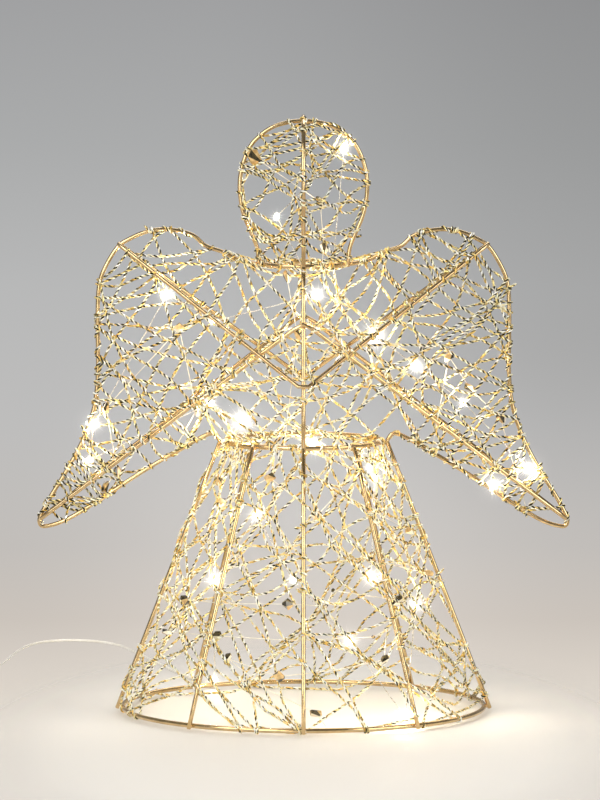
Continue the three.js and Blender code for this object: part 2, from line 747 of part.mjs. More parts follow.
const neckInside = neckRingRadius - ringWireRadius - beadSeat;
const waistInside = waistRingRadius - ringWireRadius - beadSeat;
strand("bead_strand_torso", [
  ["through", polar(neckInside, radians(-25), neckRingHeight)],
  ["bead", inTorso(-29, 0.94, beadRadius)],
  ["bead", inTorso(-8, 0.62, beadInset)],
  ["through", polar(waistInside, radians(-15), waistRingHeight)],
], beadThreadRadius, smokyCrystal);

strand("bead_strand_head", [
  ["through", polar(neckInside, radians(30), neckRingHeight)],
  ["bead", inHead(0.32, -0.36, 0.124)],
  ["bead", inHead(0.26, -0.47, 0.446)],
  ["bead", inHead(-0.765, 0, 0.745)],
  ["through", inHead(-0.82, 0, 0.79)],
], beadThreadRadius, smokyCrystal);

const rearLayerShare = -0.25;
strand("bead_strand_wing_left", [
  ["through", inWing(-1, 0.486, 0.2605, 0)],
  ["bead", inWing(-1, 0.404, 0.388, rearLayerShare)],
  ["bead", inWing(-1, 0.468, 0.665, rearLayerShare)],
  ["bead", inWing(-1, 0.745, 0.398, rearLayerShare)],
  ["bead", inWing(-1, 0.703, 0.182, rearLayerShare)],
  ["bead", inWing(-1, 0.749, 0.131, rearLayerShare)],
  ["through", inWing(-1, 0.795, 0.0885, 0)],
], beadThreadRadius, smokyCrystal);

strand("bead_strand_wing_right", [
  ["through", inWing(1, 0.486, 0.2605, 0)],
  ["bead", inWing(1, 0.549, 0.57, rearLayerShare)],
  ["bead", inWing(1, 0.628, 0.465, rearLayerShare)],
  ["bead", inWing(1, 0.745, 0.361, rearLayerShare)],
  ["bead", inWing(1, 0.799, 0.188, rearLayerShare)],
  ["through", inWing(1, 0.84, 0.066, 0)],
], beadThreadRadius, smokyCrystal);

// Lead: leaves the sleeve, swings back and to the left along the floor and enters the battery box
const leadSteps = 44;
const leadStart = sleeveEnd.clone().addScaledVector(sleeveAxis, clearance);
const leadEnd = boxMouth.clone().add(new THREE.Vector3(0, clearance, 0));
const leadRoute = [
  leadStart,
  leadStart.clone().addScaledVector(sleeveAxis, 3 * leadRadius),
  new THREE.Vector3(-75, 150, 1.1),
  new THREE.Vector3(-95, 215, leadRadius),
  new THREE.Vector3(-125, 312, leadRadius),
  new THREE.Vector3(-143, 349, leadRadius),
  new THREE.Vector3(-166, 362, leadRadius),
  new THREE.Vector3(-178, 370, leadRadius),
  new THREE.Vector3(-188, 360, leadRadius),
  new THREE.Vector3(-198, 329, leadRadius),
  new THREE.Vector3(-207, 281, leadRadius),
  new THREE.Vector3(-215, 226, leadRadius),
  new THREE.Vector3(-222, 202, 1.4),
  new THREE.Vector3(-235, 187, 3.4),
  leadEnd.clone().add(new THREE.Vector3(0, 4 * leadRadius, 0)),
  leadEnd,
];
const leadCurve = new THREE.CatmullRomCurve3(leadRoute, false, "centripetal");
console.log(`lead: ${leadCurve.getLength().toFixed(0)} mm long`);
addMesh("lead", sweep(leadCurve.getSpacedPoints(leadSteps), leadRadius, leadSides,
  sleeveAxis, new THREE.Vector3(0, -1, 0)), clearSleeve);

// Battery box: an open tray for three cells side by side, with a closed compartment at the lead's end
const cellRoom = cellCount * cellPitch + 2 * clearance;
const bayLength = cellLength + springLength + 2 * plateThickness + 4 * clearance;
const boxLength = boxEndWall + bayLength + boxPartition + boxCompartment + boxEndWall;
const boxWidth = cellRoom + 2 * boxWall;
const boxX = boxMouth.x;
const boxRear = boxMouth.y - grommetFlange - clearance;
const boxFront = boxRear - boxLength;
const bayFront = boxFront + boxEndWall;
const bayRear = bayFront + bayLength;
const roomLeft = boxX - cellRoom / 2;
const roomRight = boxX + cellRoom / 2;
const cellAxisHeight = boxFloor + clearance + cellRadius;
const grooveLow = cellAxisHeight + cellRadius + clearance;
const grooveHigh = grooveLow + coverThickness + 2 * clearance;
const boxHeight = grooveHigh + coverLip;
const deckBottom = boxHeight - boxDeck;
const compartmentMiddle = boxRear - boxEndWall - boxCompartment / 2;
const holeSides = 20;

function at(x, y, z) {
  return new THREE.Vector3(x, y, z);
}

const slotHalfLength = (knobLength + knobTravel) / 2 + clearance;
const slotHalfWidth = knobWidth / 2 + clearance;
const leadHoleRadius = grommetRadius + clearance;
const leadHoleLength = boxEndWall + 2 * overrun;
const leadHole = new THREE.CylinderGeometry(leadHoleRadius, leadHoleRadius, leadHoleLength, holeSides)
  .translate(boxX, boxRear - boxEndWall / 2, grommetHeight);
addMesh("battery_tray", cut(
  block(at(boxX - boxWidth / 2, boxFront, 0), at(boxX + boxWidth / 2, boxRear, boxHeight)),
  block(at(roomLeft, bayFront, boxFloor), at(roomRight, bayRear, boxHeight + overrun)),
  block(at(roomLeft - coverTongue, boxFront - overrun, grooveLow),
    at(roomRight + coverTongue, bayRear, grooveHigh)),
  block(at(roomLeft, boxFront - overrun, grooveLow), at(roomRight, bayRear, boxHeight + overrun)),
  block(at(roomLeft, boxRear - boxEndWall - boxCompartment, boxFloor),
    at(roomRight, boxRear - boxEndWall, deckBottom)),
  block(at(boxX - slotHalfLength, compartmentMiddle - slotHalfWidth, deckBottom - overrun),
    at(boxX + slotHalfLength, compartmentMiddle + slotHalfWidth, boxHeight + overrun)),
  leadHole,
), whitePlastic);

// Sliding cover with finger ridges near its free end
const coverLow = grooveLow + clearance;
const coverTop = coverLow + coverThickness;
const coverSide = coverTongue - clearance;
const gripSpan = cellRoom / 2;
const coverRear = bayRear - clearance;
const grips = Array.from({ length: gripCount }, (_, i) => {
  const near = boxFront + gripPitch * (i + 1);
  return block(at(boxX - gripSpan / 2, near, coverTop - coverThickness / 2),
    at(boxX + gripSpan / 2, near + gripDepth, coverTop + gripHeight));
});
addMesh("battery_cover", join(
  block(at(roomLeft - coverSide, boxFront, coverLow), at(roomRight + coverSide, coverRear, coverTop)),
  ...grips,
), whitePlastic);

// Cells lie head to tail, each between a flat contact at its cap and a spring at its other end
const cellSides = 18;
const platedFront = bayFront + clearance + plateThickness;
const platedRear = bayRear - clearance - plateThickness;
const cellProfile = [
  new THREE.Vector2(0, 0),
  new THREE.Vector2(cellRadius, 0),
  new THREE.Vector2(cellRadius, cellLength - cellNubLength),
  new THREE.Vector2(cellNubRadius, cellLength - cellNubLength),
  new THREE.Vector2(cellNubRadius, cellLength),
  new THREE.Vector2(0, cellLength),
];

function cellX(index) {
  return boxX + (index - (cellCount - 1) / 2) * cellPitch;
}

for (let index = 0; index < cellCount; index += 1) {
  const capToRear = index % 2 === 0;
  const cell = new THREE.LatheGeometry(cellProfile, cellSides);
  if (!capToRear) cell.rotateZ(Math.PI);
  const foot = capToRear ? platedRear - clearance - cellLength : platedFront + clearance + cellLength;
  addMesh(`cell_${index + 1}`, cell.translate(cellX(index), foot, cellAxisHeight), cellSleeve);
}

// Contacts: thin plates on the end walls, each spring a cone that presses on a cell's flat end
function contact(name, firstCell, lastCell, springCell, atRear) {
  const wall = atRear ? bayRear - clearance : bayFront + clearance;
  const face = atRear ? platedRear : platedFront;
  const plate = block(
    at(cellX(firstCell) - plateWidth / 2, Math.min(wall, face), cellAxisHeight - plateHeight / 2),
    at(cellX(lastCell) + plateWidth / 2, Math.max(wall, face), cellAxisHeight + plateHeight / 2));
  if (springCell === null) return addMesh(name, plate, platedSteel);
  const reach = springLength - clearance + plateThickness / 2;
  const spring = new THREE.CylinderGeometry(springNarrowRadius, springWideRadius, reach, holeSides);
  if (atRear) spring.rotateX(Math.PI);
  const middle = face + (atRear ? -1 : 1) * (reach / 2 - plateThickness / 2);
  spring.translate(cellX(springCell), middle, cellAxisHeight);
  return addMesh(name, join(plate, spring), platedSteel);
}

contact("contact_bridge_front", 0, 1, 0, false);
contact("contact_spring_front", 2, 2, 2, false);
contact("contact_flat_rear", 0, 0, null, true);
contact("contact_bridge_rear", 1, 2, 1, true);

// Circuit board with its timer chip on the compartment floor, and the switch under the deck
const boardLow = boxFloor + clearance;
const boardTop = boardLow + boardThickness;
addMesh("circuit_board", join(
  block(at(boxX - boardLength / 2, compartmentMiddle - boardWidth / 2, boardLow),
    at(boxX + boardLength / 2, compartmentMiddle + boardWidth / 2, boardTop)),
  block(
    at(boxX + boardLength / 4 - chipLength / 2, compartmentMiddle - chipWidth / 2,
      boardTop - boardThickness / 2),
    at(boxX + boardLength / 4 + chipLength / 2, compartmentMiddle + chipWidth / 2, boardTop + chipHeight)),
), greenBoard);

const switchTop = deckBottom - clearance;
addMesh("switch_body", block(
  at(boxX - switchLength / 2, compartmentMiddle - switchWidth / 2, switchTop - switchHeight),
  at(boxX + switchLength / 2, compartmentMiddle + switchWidth / 2, switchTop)), darkPlastic);
const knobX = boxX - knobTravel / 2;
addMesh("switch_knob", block(
  at(knobX - knobLength / 2, compartmentMiddle - knobWidth / 2, deckBottom),
  at(knobX + knobLength / 2, compartmentMiddle + knobWidth / 2, boxHeight + knobRise)), darkPlastic);

// Grommet: flange outside the end wall, neck through it
const neckReach = grommetFlange + clearance + boxEndWall + clearance;
const grommetProfile = [
  new THREE.Vector2(0, -neckReach),
  new THREE.Vector2(grommetRadius, -neckReach),
  new THREE.Vector2(grommetRadius, -grommetFlange),
  new THREE.Vector2(grommetFlangeRadius, -grommetFlange),
  new THREE.Vector2(grommetFlangeRadius, 0),
  new THREE.Vector2(0, 0),
];
addMesh("lead_grommet", new THREE.LatheGeometry(grommetProfile, holeSides)
  .translate(boxMouth.x, boxMouth.y, boxMouth.z), whitePlastic);

export default angel;
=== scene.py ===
# Lighted angel figurine: a welded wire figure wound with glitter thread, beads and small lights.
import math
import random

import bpy
import numpy as np
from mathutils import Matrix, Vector


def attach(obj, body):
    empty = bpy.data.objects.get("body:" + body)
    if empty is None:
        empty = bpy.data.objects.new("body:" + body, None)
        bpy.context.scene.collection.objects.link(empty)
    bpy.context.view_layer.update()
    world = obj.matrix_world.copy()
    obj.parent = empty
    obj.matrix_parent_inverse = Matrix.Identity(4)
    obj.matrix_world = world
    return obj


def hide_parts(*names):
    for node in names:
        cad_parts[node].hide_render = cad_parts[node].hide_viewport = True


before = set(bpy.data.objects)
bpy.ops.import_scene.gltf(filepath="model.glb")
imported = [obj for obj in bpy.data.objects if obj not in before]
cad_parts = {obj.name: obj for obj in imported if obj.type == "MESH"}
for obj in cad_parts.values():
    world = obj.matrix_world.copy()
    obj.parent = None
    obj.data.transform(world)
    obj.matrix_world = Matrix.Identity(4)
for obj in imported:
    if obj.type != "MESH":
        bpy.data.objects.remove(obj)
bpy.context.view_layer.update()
scene = bpy.context.scene
MM = 0.001


# Viewpoint: a long lens about four metres in front of the figure, tipped five degrees down, so
# that the base ring shows as a flat ellipse and the upright wires stay nearly parallel.
view = bpy.data.objects.new("view", bpy.data.cameras.new("view"))
view.data.lens = 277.4
view.data.sensor_width = 36
view.data.clip_end = 60
view.location = (-2.3 * MM, -4100 * MM, 569.4 * MM)
view.rotation_euler = (math.radians(90 - 5.0175), 0, 0)
scene.collection.objects.link(view)
scene.camera = view


# Lead: half a metre of thin cable in a clear sheath. It leaves the sleeve behind the base ring,
# swings back over the table and out to the left, and ends in the battery box's grommet.
LEAD_RADIUS = 1 * MM
SLEEVE_HEADING = Vector((-0.29, 0.957, 0)).normalized()
SLEEVE_TURN = math.radians(-150)
SLEEVE_LENGTH = 16 * MM
SLEEVE_HEIGHT = 2.5 * MM
CLEARANCE = 0.3 * MM
BASE_RADIUS = 121 * MM
RING_WIRE = 1.5 * MM
BOX_MOUTH = Vector((-243, 168, 5)) * MM


def polar(radius, turn, height):
    """A point at a radius from the figure's axis, a turn from its front towards +X, and a height."""
    return Vector((radius * math.sin(turn), -radius * math.cos(turn), height))


def smooth_line(places, step):
    """Points about step apart on the centripetal curve through the places."""
    places = [Vector(place) for place in places]
    ends = [2 * places[0] - places[1], 2 * places[-1] - places[-2]]
    ring = [ends[0], *places, ends[1]]
    line = []
    for a, b, c, d in zip(ring, ring[1:], ring[2:], ring[3:]):
        before, here, after = (math.sqrt((q - p).length) for p, q in ((a, b), (b, c), (c, d)))
        leave = ((b - a) / before - (c - a) / (before + here) + (c - b) / here) * here
        arrive = ((c - b) / here - (d - b) / (here + after) + (d - c) / after) * here
        pieces = max(1, math.ceil((c - b).length / step))
        for k in range(pieces):
            t = k / pieces
            line.append(b * (2 * t**3 - 3 * t**2 + 1) + leave * (t**3 - 2 * t**2 + t)
                        + c * (3 * t**2 - 2 * t**3) + arrive * (t**3 - t**2))
    return [*line, places[-1]]


def even_line(line, step):
    """The same line with points at equal distances, as an array."""
    points = np.array(line, float)
    along = np.concatenate([[0], np.cumsum(np.linalg.norm(np.diff(points, axis=0), axis=1))])
    places = np.linspace(0, along[-1], max(2, round(along[-1] / step) + 1))
    return np.stack([np.interp(places, along, points[:, k]) for k in range(3)], 1)


sleeve_start = polar(BASE_RADIUS + RING_WIRE + 3 * CLEARANCE, SLEEVE_TURN, SLEEVE_HEIGHT)
lead_start = sleeve_start + SLEEVE_HEADING * (SLEEVE_LENGTH + CLEARANCE)
lead_end = BOX_MOUTH + Vector((0, CLEARANCE, 0))
lead_bends = [(-77, 155, 1.1), (-96, 216, 1), (-122, 304, 1), (-134, 340, 1), (-150, 361, 1),
              (-170, 368, 1), (-188, 359, 1), (-200, 336, 1), (-208, 287, 1), (-214, 235, 1),
              (-222, 207, 1.4), (-235, 188, 3.4)]
lead_route = [lead_start, lead_start + SLEEVE_HEADING * (3 * LEAD_RADIUS),
              *[Vector(bend) * MM for bend in lead_bends],
              lead_end + Vector((0, 4 * LEAD_RADIUS, 0)), lead_end]
lead_line = even_line(smooth_line(lead_route, 2 * MM), 3 * MM)

lead_curve = bpy.data.curves.new("lead_in_sheath", "CURVE")
lead_curve.dimensions = "3D"
lead_curve.bevel_depth = LEAD_RADIUS
lead_curve.bevel_resolution = 4
lead_curve.use_fill_caps = True
lead_spline = lead_curve.splines.new("POLY")
lead_spline.points.add(len(lead_line) - 1)
for point, place in zip(lead_spline.points, lead_line):
    point.co = (*place, 1)
lead = bpy.data.objects.new("lead_in_sheath", lead_curve)
scene.collection.objects.link(lead)


def place_node(tree, kind, inputs=None, **settings):
    """A shader node with its settings, and with values or other nodes' outputs on its inputs."""
    made = tree.nodes.new(kind)
    for name, value in settings.items():
        setattr(made, name, value)
    for name, value in (inputs or {}).items():
        if isinstance(value, bpy.types.NodeSocket):
            tree.links.new(value, made.inputs[name])
        else:
            made.inputs[name].default_value = value
    return made


def new_effect(name, inputs, outputs):
    """An empty node group with float inputs and named outputs."""
    group = bpy.data.node_groups.new(name, "ShaderNodeTree")
    for label, value in inputs.items():
        socket = group.interface.new_socket(label, in_out="INPUT", socket_type="NodeSocketFloat")
        socket.default_value = value
    for label, kind in outputs.items():
        group.interface.new_socket(label, in_out="OUTPUT", socket_type=kind)
    return group, group.nodes.new("NodeGroupInput"), group.nodes.new("NodeGroupOutput")


def new_material(name, **finish):
    """A material with a Principled shader, its plain finish values and its node tree."""
    material = bpy.data.materials.new(name)
    material.use_nodes = True
    shader = material.node_tree.nodes["Principled BSDF"]
    for label, value in finish.items():
        shader.inputs[label.replace("_", " ")].default_value = value
    return material, material.node_tree, shader


def place_effect(tree, group, **values):
    """A node group in a material, with its own values."""
    made = tree.nodes.new("ShaderNodeGroup")
    made.node_tree = group
    for label, value in values.items():
        made.inputs[label].default_value = value
    return made


def tone_ramp(tree, value, stops, course="LINEAR"):
    """The colour that belongs to a value, between two or more (value, colour) stops."""
    made = place_node(tree, "ShaderNodeValToRGB", {"Fac": value})
    made.color_ramp.interpolation = course
    elements = made.color_ramp.elements
    elements[1].position = stops[1][0]
    elements[0].position = stops[0][0]
    for k in range(2):
        elements[k].color = (*stops[k][1], 1)
    for place, colour in stops[2:]:
        elements.new(place).color = (*colour, 1)
    return made.outputs["Color"]


def graded(tree, value, low, high, start, end, course="LINEAR"):
    """A value that goes from start to end while another goes from low to high."""
    made = place_node(tree, "ShaderNodeMapRange", {
        "Value": value, "From Min": low, "From Max": high, "To Min": start, "To Max": end},
        interpolation_type=course)
    return made.outputs["Result"]


def dress(name, material):
    """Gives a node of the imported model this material."""
    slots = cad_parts[name].material_slots
    for slot in slots:
        slot.link = "OBJECT"
        slot.material = material
    if not slots:
        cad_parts[name].data.materials.append(material)


# Sheath, wire, glass and plastic all vary a little: two tones drift over the surface, and a finer
# grain gives the gloss and the height of the bump.
surface_drift, drift_in, drift_out = new_effect(
    "surface_drift", {"Scale": 60, "Grain": 900},
    {"Tone": "NodeSocketFloat", "Gloss": "NodeSocketFloat", "Height": "NodeSocketFloat"})
where = place_node(surface_drift, "ShaderNodeTexCoord")
broad = place_node(surface_drift, "ShaderNodeTexNoise",
                   {"Vector": where.outputs["Object"], "Scale": drift_in.outputs["Scale"], "Detail": 3})
fine = place_node(surface_drift, "ShaderNodeTexNoise",
                  {"Vector": where.outputs["Object"], "Scale": drift_in.outputs["Grain"], "Detail": 2})
surface_drift.links.new(broad.outputs["Fac"], drift_out.inputs["Tone"])
surface_drift.links.new(fine.outputs["Fac"], drift_out.inputs["Gloss"])
surface_drift.links.new(fine.outputs["Fac"], drift_out.inputs["Height"])


def drifting_finish(name, light, dark, gloss, bump, scale=60, grain=900, **finish):
    """A finish whose colour drifts between two tones and whose roughness and bump follow its grain."""
    material, tree, shader = new_material(name, **finish)
    drift = place_effect(tree, surface_drift, Scale=scale, Grain=grain)
    tones = tone_ramp(tree, drift.outputs["Tone"], [(0.36, dark), (0.64, light)])
    rough = graded(tree, drift.outputs["Gloss"], 0.3, 0.7, *gloss)
    relief = place_node(tree, "ShaderNodeBump", {
        "Height": drift.outputs["Height"], "Strength": bump, "Distance": 0.05 * MM})
    tree.links.new(tones, shader.inputs["Base Color"])
    tree.links.new(rough, shader.inputs["Roughness"])
    tree.links.new(relief.outputs["Normal"], shader.inputs["Normal"])
    return material


clear_sheath = drifting_finish(
    "clear_sheath", (0.95, 0.90, 0.80), (0.86, 0.80, 0.68), gloss=(0.22, 0.34), bump=0.1,
    IOR=1.5, Coat_Weight=0.3)
lead_curve.materials.append(clear_sheath)
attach(lead, "figure")
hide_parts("lead")
dress("junction_sleeve", clear_sheath)


# Frame: round steel wire with a champagne finish, bent to three rings, straight struts, two head
# arches, the wing outlines and the ridge wires, and spot welded wherever one wire meets another. It
# is drawn 8 percent thicker than the solids, as the photo shows it.
FRAME_WIRE = 1.3 * MM
WIRE_LOOK = 1.08
BASE_HEIGHT = 3.8 * MM
WAIST_RADIUS = 52.3 * MM
WAIST_HEIGHT = 182 * MM
NECK_RADIUS = 26.5 * MM
NECK_HEIGHT = 300.4 * MM
STRUT_SEAT = RING_WIRE + CLEARANCE + FRAME_WIRE
STRUT_TURNS = {"front": 0, "front_right": 37, "right": 90, "rear_right": 143, "rear": 180,
               "rear_left": 217, "left": 270, "front_left": 323}
SKIRT_SLOPE = (BASE_RADIUS - WAIST_RADIUS) / (WAIST_HEIGHT - BASE_HEIGHT)
TORSO_SLOPE = (WAIST_RADIUS - NECK_RADIUS) / (NECK_HEIGHT - WAIST_HEIGHT)
SKIRT_STAND = STRUT_SEAT * math.hypot(1, SKIRT_SLOPE)
TORSO_STAND = STRUT_SEAT * math.hypot(1, TORSO_SLOPE)
HEAD_HALF = 42.5 * MM
HEAD_HEIGHT = 95.4 * MM
HEAD_SHARES = [(0.725, 0.11), (0.82, 0.22), (0.915, 0.32), (0.965, 0.4), (1.0, 0.56), (0.95, 0.7),
               (0.82, 0.83), (0.71, 0.885), (0.5, 0.953), (0.26, 0.988)]
ARCH_PASS = 2 * FRAME_WIRE + CLEARANCE
WING_REACH = 177 * MM
WING_TOP = 323.5 * MM
WING_TIP = 125 * MM
WING_UPPER = [(0.239, 0.895), (0.303, 0.924), (0.368, 0.945), (0.417, 0.981), (0.511, 1.0),
              (0.588, 0.993), (0.655, 0.968), (0.691, 0.948), (0.735, 0.892), (0.766, 0.828),
              (0.775, 0.745), (0.775, 0.525), (0.781, 0.451), (0.793, 0.39), (0.836, 0.284),
              (0.905, 0.171), (0.964, 0.085)]
WING_END = [(0.998, 0.018), (0.99, 0.0)]
WING_LOWER = [(0.966, 0.0), (0.905, 0.017), (0.788, 0.078), (0.644, 0.163), (0.486, 0.248)]
RIDGE_LIE = 2 * FRAME_WIRE + CLEARANCE
RIDGE_BOW = 0.8 * MM
RIDGE_LAP = 1.5 * MM
RIDGES = {"low": (220 * MM, (0.691, 0.948)), "high": (264.5 * MM, (0.985, 0.03))}
BEND_STEP = 1.5 * MM
STRAIGHT_STEP = 30 * MM


def skirt_radius(height):
    """How far from the axis the skirt struts stand at this height."""
    return WAIST_RADIUS + SKIRT_STAND + (WAIST_HEIGHT - height) * SKIRT_SLOPE


def torso_radius(height):
    """The same for the front and rear struts of the torso."""
    return NECK_RADIUS + TORSO_STAND + (NECK_HEIGHT - height) * TORSO_SLOPE


def wing_place(side, share, depth=0.0):
    """A point of the wing, as shares of its reach and of its height from tip to top."""
    return Vector((side * share[0] * WING_REACH, depth, WING_TIP + share[1] * (WING_TOP - WING_TIP)))


def wing_heel(side):
    """The lower edge turns down to stand on the side strut at the waist ring."""
    waist = WAIST_RADIUS + SKIRT_STAND + CLEARANCE
    return [Vector((side * (waist + 4 * MM), 0, WAIST_HEIGHT + 5 * MM)),
            Vector((side * waist, 0, WAIST_HEIGHT + CLEARANCE))]


def wing_outline(side):
    root = Vector((side * (NECK_RADIUS + STRUT_SEAT + FRAME_WIRE + 1.5 * CLEARANCE), 0, NECK_HEIGHT))
    places = [wing_place(side, share) for share in (*WING_UPPER, *WING_END, *WING_LOWER)]
    return smooth_line([root, *places, *wing_heel(side)], BEND_STEP)


def head_arch(turn, foot_height, lift):
    """An arch that stands on the neck ring, bulges out and is lifted at its top by this much."""
    half = [(NECK_RADIUS + STRUT_SEAT, foot_height)]
    half += [(w * HEAD_HALF, NECK_HEIGHT + h * (HEAD_HEIGHT + lift)) for w, h in HEAD_SHARES]
    rising = [polar(r, turn, h) for r, h in half]
    falling = [polar(-r, turn, h) for r, h in reversed(half)]
    return smooth_line([*rising, polar(0, turn, NECK_HEIGHT + HEAD_HEIGHT + lift), *falling], BEND_STEP)


def ridge_side(side, face, word):
    """One half of a ridge wire: from the middle of the body to the wing's outline."""
    height, share = RIDGES[word]
    middle = Vector((0, face * (torso_radius(height) + RIDGE_LIE + RIDGE_BOW), height))
    return middle, wing_place(side, share, face * RIDGE_LIE)


def frames_along(line, closed=False):
    """Tangents of a line of points and two directions across it that don't spin."""
    if closed:
        tangents = np.roll(line, -1, 0) - np.roll(line, 1, 0)
    else:
        tangents = np.gradient(line, axis=0)
    tangents /= np.linalg.norm(tangents, axis=1)[:, None]
    across = np.empty_like(line)
    start = np.cross(tangents[0], (0, 0, 1) if abs(tangents[0][2]) < 0.9 else (1, 0, 0))
    across[0] = start / np.linalg.norm(start)
    for i in range(1, len(line)):
        turned = across[i - 1] - tangents[i] * (across[i - 1] @ tangents[i])
        across[i] = turned / np.linalg.norm(turned)
    return tangents, across, np.cross(tangents, across)


def skin(rings, sides, closed=False):
    """Faces between rings of points, with a flat face at each end unless they close on themselves."""
    start = np.arange(rings if closed else rings - 1)[:, None] * sides
    here = (start + np.arange(sides)).ravel()
    beside = (start + (np.arange(sides) + 1) % sides).ravel()
    total = rings * sides
    faces = np.stack([here, beside, (beside + sides) % total, (here + sides) % total], 1).tolist()
    if not closed:
        faces += [list(range(sides))[::-1], list(range(total - sides, total))]
    return faces


def tube_mesh(line, radii, sides, closed=False):
    """Vertices and faces of a round tube, with low domed ends unless it closes on itself."""
    line = np.array(line, float)
    tangents, across, upward = frames_along(line, closed)
    turns = np.arange(sides) * 2 * math.pi / sides
    if np.ndim(radii) == 0:
        radii = np.full(len(line), radii)
    if not closed:
        dome, narrow = 0.5 * radii[0], 0.6
        first = line[0] - tangents[0] * dome * narrow
        last = line[-1] + tangents[-1] * dome * narrow
        line = np.concatenate([[first], line, [last]])
        radii = np.concatenate([[radii[0] * narrow], radii, [radii[-1] * narrow]])
        across = np.concatenate([across[:1], across, across[-1:]])
        upward = np.concatenate([upward[:1], upward, upward[-1:]])
    spokes = across[:, None] * np.cos(turns)[None, :, None] + upward[:, None] * np.sin(turns)[None, :, None]
    vertices = (line[:, None] + spokes * radii[:, None, None]).reshape(-1, 3)
    return vertices, skin(len(line), sides, closed)


def joined_mesh(name, parts):
    """One mesh from several (vertices, faces) parts."""
    vertices, faces, start = [], [], 0
    for part_vertices, part_faces in parts:
        vertices.append(np.asarray(part_vertices, float))
        faces += [[corner + start for corner in face] for face in part_faces]
        start += len(part_vertices)
    mesh = bpy.data.meshes.new(name)
    mesh.from_pydata(np.concatenate(vertices).tolist(), [], faces)
    return mesh


def add_piece(name, parts, material, replaced=(), smooth=True):
    """One piece from several (vertices, faces) parts, which rides on the figure."""
    mesh = joined_mesh(name, parts)
    mesh.polygons.foreach_set("use_smooth", [smooth] * len(mesh.polygons))
    mesh.materials.append(material)
    mesh.update()
    piece = bpy.data.objects.new(name, mesh)
    scene.collection.objects.link(piece)
    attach(piece, "figure")
    if replaced:
        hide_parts(*replaced)
    return piece


champagne = drifting_finish(
    "champagne_wire", (0.80, 0.59, 0.32), (0.60, 0.43, 0.21), gloss=(0.13, 0.22), bump=0.0,
    scale=110, grain=300, Metallic=1.0)


def add_wire(name, line, radius=FRAME_WIRE, sides=12, closed=False):
    tube = tube_mesh(line, radius * WIRE_LOOK, sides, closed)
    add_piece(f"{name}_wire", [tube], champagne, [name])


def ring_line(radius, height, steps):
    return [polar(radius, 2 * math.pi * k / steps, height) for k in range(steps)]


rings = {"base_ring": (BASE_RADIUS, BASE_HEIGHT, 144), "waist_ring": (WAIST_RADIUS, WAIST_HEIGHT, 96),
         "neck_ring": (NECK_RADIUS, NECK_HEIGHT, 72)}
for name, (radius, height, steps) in rings.items():
    add_wire(name, ring_line(radius, height, steps), RING_WIRE, 14, closed=True)

strut_lines = {}
for name, degrees in STRUT_TURNS.items():
    heights = (BASE_HEIGHT - RING_WIRE, WAIST_HEIGHT - CLEARANCE / 2)
    strut_lines[name] = [polar(skirt_radius(height), math.radians(degrees), height) for height in heights]
    add_wire(f"skirt_strut_{name}", even_line(strut_lines[name], STRAIGHT_STEP))
for name, turn in (("front", 0.0), ("rear", math.pi)):
    heights = (WAIST_HEIGHT + CLEARANCE / 2, NECK_HEIGHT - CLEARANCE / 2)
    ends = [polar(torso_radius(height), turn, height) for height in heights]
    add_wire(f"torso_strut_{name}", even_line(ends, STRAIGHT_STEP))

side_arch = head_arch(math.pi / 2, NECK_HEIGHT - RING_WIRE, 0)
front_arch = head_arch(0, NECK_HEIGHT + CLEARANCE / 2, ARCH_PASS)
add_wire("head_arch_side_to_side", side_arch)
add_wire("head_arch_front_to_rear", front_arch)
for name, side in (("left", -1), ("right", 1)):
    add_wire(f"wing_outline_{name}", wing_outline(side))
for word in RIDGES:
    for name, face in (("front", -1), ("rear", 1)):
        (middle, left), (_, right) = (ridge_side(side, face, word) for side in (-1, 1))
        reach = [end + (end - middle).normalized() * RIDGE_LAP for end in (left, right)]
        near = [middle.lerp(end, 2 * MM / (end - middle).length) for end in (left, right)]
        add_wire(f"ridge_{word}_{name}", even_line([reach[0], *near, reach[1]], 8 * MM))


WELD_RADIUS = 1.5 * MM
WELD_SEAT = STRUT_SEAT * 0.55


def weld_bead(middle):
    """A small lump of weld metal: a rounded blob that bridges two wires."""
    steps, sides = 6, 10
    vertices = [middle + Vector((0, 0, -WELD_RADIUS))]
    for i in range(1, steps):
        rise = math.pi * i / steps
        for k in range(sides):
            turn = 2 * math.pi * k / sides
            swell = 1 + 0.12 * math.sin(3 * turn + 5 * i)
            vertices.append(middle + Vector((
                WELD_RADIUS * math.sin(rise) * math.cos(turn) * swell,
                WELD_RADIUS * math.sin(rise) * math.sin(turn) * swell,
                -WELD_RADIUS * math.cos(rise))))
    vertices.append(middle + Vector((0, 0, WELD_RADIUS)))
    top = len(vertices) - 1
    faces = [[0, 1 + (k + 1) % sides, 1 + k] for k in range(sides)]
    for i in range(steps - 2):
        low = 1 + i * sides
        faces += [[low + k, low + (k + 1) % sides, low + sides + (k + 1) % sides, low + sides + k]
                  for k in range(sides)]
    low = 1 + (steps - 2) * sides
    faces += [[low + k, low + (k + 1) % sides, top] for k in range(sides)]
    return [tuple(v) for v in vertices], faces


weld_places = []
for degrees in STRUT_TURNS.values():
    for radius, height in ((BASE_RADIUS, BASE_HEIGHT), (WAIST_RADIUS, WAIST_HEIGHT - FRAME_WIRE)):
        weld_places.append(polar(radius + WELD_SEAT, math.radians(degrees), height))
for degrees in (0, 90, 180, 270):
    weld_places.append(polar(NECK_RADIUS + WELD_SEAT, math.radians(degrees), NECK_HEIGHT))
for side in (-1, 1):
    for face in (-1, 1):
        for word in RIDGES:
            end = ridge_side(side, face, word)[1]
            weld_places.append(end * 0.5 + Vector((end.x, 0, end.z)) * 0.5)
weld_places.append(Vector((0, 0, NECK_HEIGHT + HEAD_HEIGHT + ARCH_PASS / 2)))
add_piece("weld_spots", [weld_bead(place) for place in weld_places], champagne)


